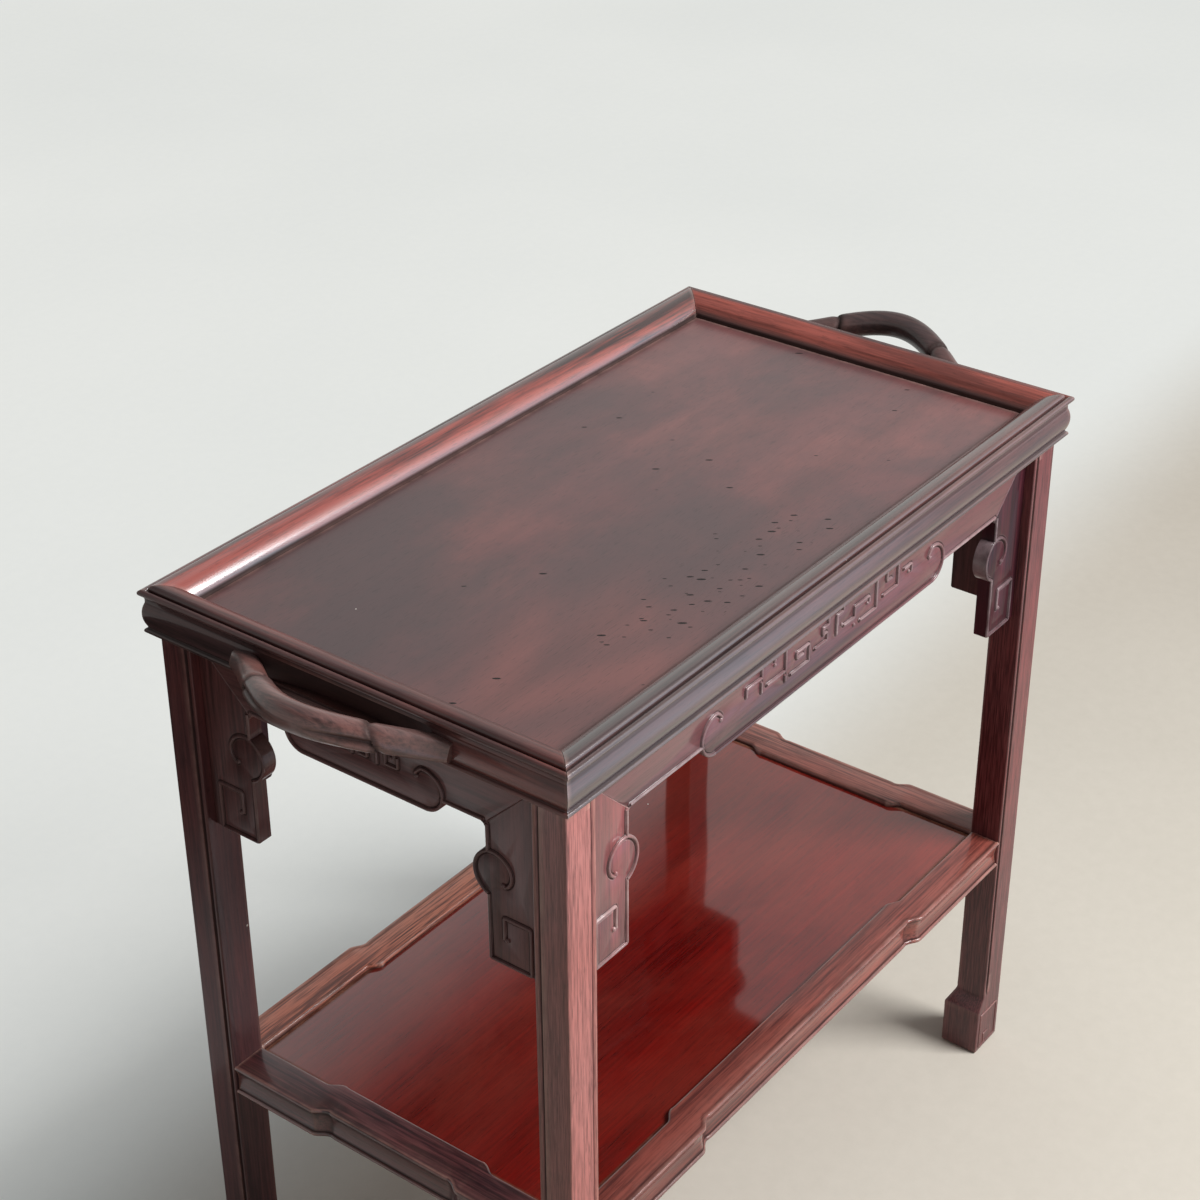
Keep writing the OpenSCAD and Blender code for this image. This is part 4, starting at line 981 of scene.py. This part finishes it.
def apron(span, plain, fret, dots, gap):
    drop = span / 2 - plain - SCROLL_R * math.cos(math.radians(JOIN))
    mitre = span / 2 - MITRE_END[0]
    edge = [(span / 2, 0), (mitre, MITRE_END[1]), (mitre - FILL, -APRON_H - FILL / 3),
            (span / 2 - SPANDREL_W - 2.5 * FILL, -APRON_H)]
    edge += arc((drop, -SCROLL_D), SCROLL_R, JOIN, -90, 16)
    scroll = winding((drop, -SCROLL_D), SCROLL_R, -90, 126, 95, 0.12, 40)
    x, y = ball_at((drop, -SCROLL_D), scroll)
    level = -APRON_H + LINE_W / 2
    paths = [(other_half(scroll) + scroll[1:], LINE_W)]
    outer, inner = span / 2 - SPANDREL_W - FILL, drop + SCROLL_R - LINE_W
    paths += [([(s * outer, level), (s * inner, level)], LINE_W) for s in (-1, 1)]
    grown = (drop - gap) / max(x for stroke in fret for x, _ in stroke)
    paths += [(soften([(x * grown, -y) for x, y in stroke]), FRET_LINE) for stroke in fret]
    balls = [((-x, y), BALL_R), ((x, y), BALL_R)] + [((x * grown, -y), DOT_R) for x, y in dots]
    return carved_board((other_half(edge) + edge)[::-1], paths, balls)


for side in TO_SIDE:
    if side in SHORT_SIDES:
        board, finish = apron(SPAN_W, 85, FRET_SHORT, DOTS_SHORT, 24), "apron y"
    else:
        board, finish = apron(SPAN_L, 136, FRET_LONG, DOTS_LONG, 35), "apron x"
    put("carved_apron_" + side, stand_up(board, side), side, finish, "apron_" + side)
print("aprons have", len(PIECES[-1].data.polygons), "faces each")

# %% [markdown]
# ## The spandrels
# A spandrel hangs beside each leg. Its free edge swells into a round scroll whose line curls inside and
# ends in a ball, and at the bottom the line turns back as a square spiral. All eight are alike, in
# mirrored pairs.

# %% Outline and lines of a spandrel
BULGE_R, BULGE = 21.5, (38.5, -89.0)
BULGE_A = math.degrees(math.acos((SPANDREL_W - BULGE[0]) / BULGE_R))
KEY_IN, KEY_H, KEY_W, KEY_TAIL, CORNER = 9, 41, 24, 19, 1.2


def spandrel():
    outline = [(0, 0), MITRE_END, (SPANDREL_W + FILL / 3, MITRE_END[1] - FILL),
               (SPANDREL_W, -APRON_H - 2.5 * FILL)]
    outline += arc(BULGE, BULGE_R, BULGE_A, -BULGE_A, 28)
    outline += [(SPANDREL_W, CORNER - SPANDREL_H), (SPANDREL_W - CORNER, -SPANDREL_H), (0, -SPANDREL_H)]
    scroll = winding(BULGE, BULGE_R, -BULGE_A, 225, 70, 0.066, 48)
    x, y = SPANDREL_W - LINE_W / 2, -SPANDREL_H + LINE_W / 2
    away = BULGE_R * math.sin(math.radians(BULGE_A)) - LINE_W * 0.4
    key_x, key_y = KEY_IN + KEY_W, y + KEY_H
    tail_y = key_y - KEY_TAIL
    key = [(x, BULGE[1] - away), (x, y), (KEY_IN, y), (KEY_IN, key_y), (key_x, key_y), (key_x, tail_y)]
    straight = [(x, -APRON_H - 1), (x, BULGE[1] + away)]
    paths = [(scroll, LINE_W), (straight, LINE_W), (soften(key, 1.4), LINE_W)]
    balls = [(ball_at(BULGE, scroll), BALL_R), ((key_x - LINE_W, tail_y), BALL_R)]
    return carved_board(outline[::-1], paths, balls)


for side in TO_SIDE:
    short = side in SHORT_SIDES
    for end in ("front", "back") if short else ("left", "right"):
        board = spandrel()
        board.transform(Matrix.Translation((-(SPAN_W if short else SPAN_L) / 2, 0, 0)))
        finish = "spandrel y" if short else "spandrel dark"
        if (side, end) == ("front", "left"):
            finish = "spandrel front"
        put(f"scrolled_spandrel_{side}_{end}", stand_up(board, side), side, finish,
            f"spandrel_{side}_{end}", end in ("front", "right"))
print("spandrels have", len(PIECES[-1].data.polygons), "faces each")

# %% [markdown]
# ## The legs
# A leg is one square stick. Along the inner edge of each outer face runs a small bead with a groove
# beside it. The block foot swells towards the inside of the table under a sloped shoulder, and a
# rectangle with a little hook is carved on its two outer faces. The stick is a stack of sections, so the
# bead, the round corner and the foot come from one surface.

# %% Section of a leg
CORNER_R, BEAD_W, BEAD_R, FOOT_H, FLARE, FOOT_MARGIN = 1.8, 3.2, 1.3, 50, 8, 5.5


def leg_section(w, d, bead):
    """Outer corner at the origin. The bead fades into the foot's plain block as bead goes to 0."""
    groove = 1.5 * bead
    # the groove beside the bead: distance from the leg's inner edge, and depth
    hollow = [(2 * BEAD_W, 0), (BEAD_W + 2.7, groove * 0.7), (BEAD_W + 1.5, groove),
              (BEAD_W + 0.4, groove * 0.6), (2.6, 0.25 * bead)]
    points = arc((CORNER_R, CORNER_R), CORNER_R, 180, 270, 6) + [(8, 0), (LEG_W * 0.6, 0)]
    points += [(w - along, deep) for along, deep in hollow] + arc((w - BEAD_R, BEAD_R), BEAD_R, 270, 360, 6)
    points += [(w, 6), (w, d * 0.5), (w, d - 3), (w - 0.3, d - 0.7), (w - 1, d), (w - 4, d)]
    points += [(w * 0.5, d), (6, d)] + arc((BEAD_R, d - BEAD_R), BEAD_R, 90, 180, 6)
    points += [(deep, d - along) for along, deep in reversed(hollow)]
    return points + [(0, LEG_D * 0.6), (0, 8)]


def foot_mark(w):
    """The carved rectangle and its hook on a foot, as paths in the face's plane."""
    m, top, right = FOOT_MARGIN, FOOT_H - FOOT_MARGIN, w + FLARE - FOOT_MARGIN
    frame_line = [(w / 2, top), (right, top), (right, m), (m, m), (m, top), (w / 2 - 0.1, top)]
    hook = [(right - 8, m + 1), (right - 8, m + 12), (right - 15, m + 12)]
    return [(soften(frame_line, 1.0), 2.0), (soften(hook, 0.8), 1.6)]


print("the leg's section has", len(leg_section(LEG_W, LEG_D, 1)), "points")

# %% Building a leg
# heights, how far the foot stands out there, and how far the section is shrunk for a rounded sole
FOOT_LEVELS = [(0.0, FLARE, -2.3), (0.5, FLARE, -1.2), (1.2, FLARE, -0.5)]
FOOT_LEVELS += [(z, FLARE, 0) for z in (2.5, 8, 25, 44, 49)]
FOOT_LEVELS += [(50, 7.7, 0), (51, 7.1, 0), (57, 4.0, 0), (63.5, 0.7, 0), (65, 0.2, 0)]
STEM_LEVELS = [(z, 0, 0) for z in (66.5, 70, 76, *range(90, RIM_Z, 18), RIM_Z)]
BEAD_FROM, BEAD_RISE, SWAY_FROM = 66, 8, 80
FACE_TURNS = ((LEG_W, UPRIGHT_TURN),
    (LEG_D, MIRROR @ Matrix.Rotation(math.radians(90), 4, "Z") @ UPRIGHT_TURN))


def leg():
    rings = []
    for z, flare, shrink in FOOT_LEVELS + STEM_LEVELS:
        cx, cy = (LEG_W + flare) / 2, (LEG_D + flare) / 2
        k = 1 + shrink / cx
        ring = []
        for x, y in leg_section(LEG_W + flare, LEG_D + flare, ease((z - BEAD_FROM) / BEAD_RISE)):
            # above the foot the stick sways by a fraction of a millimetre
            sway = 0.15 * math.sin(z * 0.021 + x * 0.1) * (z > SWAY_FROM)
            ring.append((cx + (x - cx) * k + sway, cy + (y - cy) * k, z))
        rings.append(ring)
    marks = []
    for width, turn in FACE_TURNS:
        lines = grow(LINE_TREE, draw_paths(foot_mark(width), []), Line_height=0.8)
        lines.transform(turn)
        if turn.determinant() < 0:
            lines.flip_normals()
        marks.append(lines)
    mesh = stack("leg", rings, marks)
    mesh.transform(Matrix.Translation((-LONG / 2 + LEG_IN, -WIDE / 2 + LEG_IN, 0)))
    return mesh


for side in ("front", "back"):
    for end in ("left", "right"):
        finish = "leg right" if (side, end) == ("front", "right") else "leg " + side
        put(f"beaded_leg_{side}_{end}", leg(), side, finish, f"leg_{side}_{end}", end == "right")
print("legs have", len(PIECES[-1].data.polygons), "faces each")

# %% [markdown]
# ## The handles
# Each handle is carved from one stick. A thick bar climbs and swings out between two thinner cuffs, and
# ends over them in a rounded shoulder. A groove with a rolled lip opens along the bar's outer side
# towards each shoulder. The cuffs flatten to blocks that are let into the rim. The handle is a stack of
# rings across its own length, and one rule gives the radius of each ring at each angle.

# %% The rule of a handle's surface
HANDLE_L, REACH, CLIMB, SEAT, BAR_L, SINK, ARCH_PAST = 200, 48, 17, 14.5, 108, 4, 15
BAR_R, CUFF_R, CUFF_END_R, GROOVE, LIP, SHOULDER = 10.8, 9.2, 7, 3.2, 0.7, 4.0
BAR_HALF, HANDLE_HALF, RING_POINTS = BAR_L / 2, HANDLE_L / 2, 72


def thickness(a):
    """Half thickness of the handle at a distance from its middle."""
    if a < BAR_HALF - SHOULDER:
        return BAR_R * (1 - 0.04 * (a / BAR_HALF) ** 2)
    if a < BAR_HALF:
        bend = max(0, 1 - ((a - BAR_HALF + SHOULDER) / SHOULDER) ** 2)
        return CUFF_R + (BAR_R * 0.96 - CUFF_R) * math.sqrt(bend)
    s = (a - BAR_HALF) / (HANDLE_HALF - BAR_HALF)
    neck = 1.1 * math.exp(-((a - BAR_HALF - 1.0) / 2.6) ** 2)
    return CUFF_END_R + (CUFF_R + 0.6 - CUFF_END_R) * (1 - max(0, s) ** 2.4) - neck


def groove_share(a, degrees):
    """How deep the groove is, from 0 to 1, and how high the lip above it stands."""
    if a > BAR_HALF - 0.3:
        return 0, 0
    along = ease((a / BAR_HALF - 0.1) / 0.8)
    wide = 7 + 9 * along
    away = (degrees - 14 + 180) % 360 - 180
    cut = math.exp(-abs(away / wide) ** 3)
    lip = math.exp(-((away - 2.0 * wide) / (0.9 * wide)) ** 2)
    return along * cut, along * lip


def handle_ring(x):
    """One ring of the handle, and how much grime and painted shade lie at each of its points."""
    a = abs(x)
    arch_l = HANDLE_HALF + ARCH_PAST
    rise = math.cos(math.radians(90 * x / arch_l)) ** 2
    slope = -math.sin(math.radians(180 * x / arch_l)) * math.pi / 2 / arch_l
    out = Vector((0, -REACH, CLIMB))
    lean = out.normalized()
    t = (Vector((1, 0, 0)) + out * slope).normalized()
    n = -t.dot(lean) * Vector((1, 0, 0)) + t.x * lean
    b = Vector((1, 0, 0)).cross(lean)
    power = 2.3 + 1.5 * ease((a - 62) / 34)
    sink = SINK * ease((a - BAR_HALF) / (HANDLE_HALF - BAR_HALF))
    centre = Vector((x, -LONG / 2 + sink, RIM_Z + SEAT)) + out * rise
    ring, dirt = [], []
    for k in range(RING_POINTS):
        turn = 2 * math.pi * k / RING_POINTS
        square = (abs(math.cos(turn)) ** power + abs(math.sin(turn)) ** power) ** (-1 / power)
        # the bar's end is cut at a slant: it reaches further over the cuff on the upper side
        slanted = a - 4.5 * math.sin(turn)
        cut, lip = groove_share(slanted, math.degrees(turn))
        r = thickness(max(0, slanted)) * square - GROOVE * cut + LIP * lip
        ring.append(tuple(centre + (n * math.cos(turn) + b * math.sin(turn)) * r))
        # the groove and the joint at the bar's end are darkened: dirt and painted shade
        dirt.append(max(0.75 * cut, math.exp(-((slanted - BAR_HALF + 0.2) / 2.4) ** 2)))
    return ring, dirt


print("the handle's ring at the middle spans", round(thickness(0) * 2, 1), "mm")

# %% Building the handles
def handle():
    """Rings lie closer round the shoulders than along the bar and the cuffs."""
    half = [BAR_HALF * i / 30 for i in range(25)] + [BAR_HALF - 9 + 0.75 * i for i in range(26)]
    half += [BAR_HALF + 10.5 + i * (HANDLE_HALF - BAR_HALF - 10.5) / 22 for i in range(23)]
    half = sorted(set(round(v, 3) for v in half))
    rings, dirt = zip(*(handle_ring(x) for x in [-v for v in reversed(half[1:])] + half))
    return stack("handle", rings, groove=[d for marks in dirt for d in marks])


for side in SHORT_SIDES:
    put("carved_handle_" + side, handle(), side, "handle " + side, "handle_" + side)
print("handles have", len(PIECES[-1].data.polygons), "faces each")

# %% [markdown]
# ## The boards of the tray and the shelf
# Both boards float in grooves, free to shrink. Old boards are never quite flat: they cup a little and
# the polish lies in long shallow waves, which is what makes a reflection wander. So each top is a grid
# with a few tenths of a millimetre of unevenness, with plain sides and underside.

# %% Building a board
ACROSS, DOWN, DIRT_AND_SHADE_W = 80, 46, 4.5


def spread(count, half):
    """Places from edge to edge whose first and last steps are narrow, for a band of grime and painted shade.
    """
    near = 1 - DIRT_AND_SHADE_W / half
    return [half * s for s in [-1.0] + [-near + 2 * near * i / (count - 2) for i in range(count - 1)] + [1.0]]


def board_mesh(name, half_x, half_y, top, thick, seed):
    """A board whose top is a grid."""
    points, dirt, rub = [], [], []
    for underside in (False, True):
        for y in spread(DOWN, half_y):
            for x in spread(ACROSS, half_x):
                wave = 0.12 * math.sin(x * 0.019 + seed) * math.cos(y * 0.027 + seed * 2)
                wave += 0.06 * math.sin(y * 0.05 + x * 0.011)
                points.append((x, y, top - thick if underside else top + wave - 0.12))
                # the board's edges by the rails are darkened: dirt and painted shade in the corner
                dirt.append(float(abs(x) == half_x or abs(y) == half_y))
                # the near left corner is used most and is rubbed towards red
                cloud = 0.8 + 0.2 * math.sin(x * 0.045 + 2 * math.sin(y * 0.05))
                rub.append(0.85 * cloud * ease((-x - 10) / 220) * ease((-y + 10) / 100))
    row, layer = ACROSS + 1, (ACROSS + 1) * (DOWN + 1)
    faces = []
    for a in (j * row + i for j in range(DOWN) for i in range(ACROSS)):
        faces.append((a, a + 1, a + row + 1, a + row))
        faces.append((layer + a, layer + a + row, layer + a + row + 1, layer + a + 1))
    edge = [*range(ACROSS)] + [j * row + ACROSS for j in range(DOWN)]
    edge += [DOWN * row + ACROSS - i for i in range(ACROSS)] + [(DOWN - j) * row for j in range(DOWN)]
    faces += [(layer + a, layer + b, b, a) for a, b in zip(edge, edge[1:] + edge[:1])]
    return close_up(marked_mesh(name, points, [], faces, groove=dirt, rub=rub))


TRAY_GAP, SHELF_GAP = RIM_W + 0.9, 0.2
tray = board_mesh("tray", LONG / 2 - TRAY_GAP, WIDE / 2 - TRAY_GAP, HIGH - PANEL_SINK, PANEL_T, 0.4)
put("polished_tray_board", tray, "front", "tray board", "top_panel")
shelf = board_mesh("shelf", SPAN_L / 2 - SHELF_GAP, SPAN_W / 2 - SHELF_GAP, SHELF_Z - SHELF_SINK,
    SHELF_PANEL_T, 2.1)
put("polished_shelf_board", shelf, "front", "shelf board", "shelf_panel")
print("boards made:", PIECES[-2].name, PIECES[-1].name)

# %% [markdown]
# ## The battens
# Two battens are dovetailed across the underside of each board and keep it flat. They are plain planed
# sticks that nobody polishes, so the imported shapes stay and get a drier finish.

# %% Battens
for name in ("top_batten_left", "top_batten_right", "shelf_batten_left", "shelf_batten_right"):
    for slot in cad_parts[name].material_slots:
        slot.material = FINISH["batten"]
print("the battens have the finish", FINISH["batten"].name)

# %% [markdown]
# ## Floor, light and camera
# The table stands on a plain pale floor in soft daylight: one wide lamp to the front right stands in for
# a window, and the pale surroundings fill the rest. The polish shows the surroundings, so they are pale
# for reflections too, and the bright windows in front are a cool white. In front of the table the floor
# glows for the polish alone with a painted reflection of that window light.

# %% Helpers for the room
WINDOW_LIGHT = (1.20, 1.36, 1.58)


def seen_by(tree):
    """1 where the camera, a polish or glass looks, and 0 for plain light."""
    ray = add(tree, "LightPath")
    return (ray["Is Camera Ray"] + ray["Is Glossy Ray"]).calc("ADD", ray["Is Transmission Ray"], clamp=True)


def mix_shaders(tree, mask, under, over):
    return add(tree, "MixShader", (mask, under, over))[0]


def sheet(name, material, corners):
    """A flat sheet that belongs to the room."""
    mesh = marked_mesh(name, corners, [], [(0, 1, 2, 3)])
    mesh.materials.append(material)
    place_object(name, mesh)


print("room helpers ready")

# %% Floor
FLOOR = bpy.data.materials.new("pale floor")
FLOOR.use_nodes = True
paint = FLOOR.node_tree
spot = add(paint, "TexCoord")["Object"]
aside, depth = split(spot)[0], split(spot)[1]
shade = (noise(paint, spot, 60.0, 6.0, 0.7) * 0.35 + noise(paint, spot, 1.3, 3.0) * 0.65).ramp(0.3, 0.7)
warm = blend(paint, shade, (0.53, 0.485, 0.415), (0.61, 0.56, 0.485))
cool = blend(paint, shade, (0.77, 0.785, 0.76), (0.82, 0.83, 0.80))
colour = blend(paint, depth.ramp(0.12, 0.42, soft=True), warm, cool)
ground = paint.nodes["Principled BSDF"]
plug(ground.inputs["Base Color"], colour)
plug(ground.inputs["Roughness"], 0.9)
# away from the table the floor shows its own colour to the camera and to reflections
away = spot.vector("LENGTH").ramp(0.5, 1.5, 0.0, 0.9, soft=True)
away = away.calc("MAXIMUM", depth.ramp(0.25, 0.75, 0.0, 0.8, soft=True))
# in front of the table the floor glows for the polish alone: a painted reflection of the windows' cool
# light on the ground, dimmer towards the right
window_reflection = depth.ramp(-0.3, -0.9, soft=True) * add(paint, "LightPath")["Is Glossy Ray"]
to_right = (aside + depth * 1.2).ramp(-0.5, 0.4, soft=True)
colour = blend(paint, window_reflection, colour, blend(paint, to_right, WINDOW_LIGHT, (0.38, 0.40, 0.43)))
glow = add(paint, "Emission", {"Color": colour, "Strength": 1.0})[0]
both = mix_shaders(paint, away * seen_by(paint), Value(paint, ground.outputs[0]), glow)
plug(paint.nodes["Material Output"].inputs[0], both)
sheet("floor", FLOOR, [(-9, -9, 0), (9, -9, 0), (9, 9, 0), (-9, 9, 0)])
print("floor made")

# %% [markdown]
# ## The wall
# In its room the table stands close to a wall, and the shelf's polish mirrors it: pale low down and dark
# where the table shades it. A sheet that only mirror rays see gives that reflection, and leaves the light
# and the background plain.

# %% Wall
WALL = bpy.data.materials.new("shaded wall")
WALL.use_nodes = True
plaster = WALL.node_tree
lit = split(add(plaster, "TexCoord")["Object"])[2].ramp(0.26, 0.53, 1.0, 0.02, soft=True)
glow = add(plaster, "Emission", {"Color": (0.97, 0.95, 0.94, 1), "Strength": lit})[0]
clear = add(plaster, "BsdfTransparent")[0]
both = mix_shaders(plaster, add(plaster, "LightPath")["Is Glossy Ray"], clear, glow)
plug(plaster.nodes["Material Output"].inputs[0], both)
sheet("wall", WALL, [(x, 0.215, z) for x, z in ((-0.9, 0.2), (0.385, 0.2), (0.385, 0.66), (-0.9, 0.66))])
print("wall made")

# %% Surroundings and lamps
world = bpy.data.worlds.new("pale surroundings")
bpy.context.scene.world = world
world.use_nodes = True
sky = world.node_tree
sky.nodes.clear()
way = add(sky, "TexCoord")["Generated"]
tint = blend(sky, split(way)[2].ramp(0.45, 0.85, soft=True), (0.76, 0.775, 0.75), (0.26, 0.27, 0.28))
# reflections also find the bright windows at the front and right
bright = way.vector("DOT_PRODUCT", (0.62, -0.76, 0.20)).ramp(0.90, 0.99, soft=True)
tint = blend(sky, bright, tint, WINDOW_LIGHT)
lighting = add(sky, "Background", {"Color": (0.80, 0.83, 0.84, 1), "Strength": 0.33})[0]
showing = add(sky, "Background", {"Color": tint, "Strength": 1.0})[0]
add(sky, "OutputWorld", (mix_shaders(sky, seen_by(sky), lighting, showing),))


def lamp(name, place, aim, size, power, colour):
    """A wide soft lamp at a place, facing a point."""
    light = bpy.data.lights.new(name, "AREA")
    light.shape = "RECTANGLE"
    light.size, light.size_y = size
    light.energy = power
    light.color = colour
    holder = place_object(name, light)
    holder.location = place
    holder.rotation_euler = (Vector(aim) - Vector(place)).to_track_quat("-Z", "Y").to_euler()


lamp("window", (1.15, -2.55, 2.9), (0, 0, 0.5), (1.7, 1.5), 190, (0.98, 0.99, 1.0))
lamp("ceiling", (0.3, 0.6, 3.4), (0, 0, 0.6), (2.6, 2.6), 8, (0.96, 0.98, 1.0))
print("light set")

# %% [markdown]
# ## The camera
# The photograph looks down on the table's near corner. The camera's place, turn and lens were found by
# matching a dozen corners of the table, so the picture can be laid over the photograph.

# %% Camera
eye = Vector((-1.35303, -0.99205, 1.58608))
turn, drop, roll = math.radians(52.68), math.radians(30.62), math.radians(-0.39)
ahead = Vector((math.sin(turn) * math.cos(drop), math.cos(turn) * math.cos(drop), -math.sin(drop)))
right = ahead.cross(Vector((0, 0, 1))).normalized()
up = right.cross(ahead)
level_right = right * math.cos(roll) + up * math.sin(roll)
level_up = up * math.cos(roll) - right * math.sin(roll)
view = bpy.data.cameras.new("camera")
view.lens, view.sensor_width = 72.12, 36.0
camera = place_object("camera", view)
camera.matrix_world = Matrix((level_right, level_up, -ahead)).transposed().to_4x4()
camera.matrix_world.translation = eye
bpy.context.scene.camera = camera
bpy.context.scene.view_settings.view_transform = "Standard"
print("camera at", tuple(round(c, 2) for c in eye))
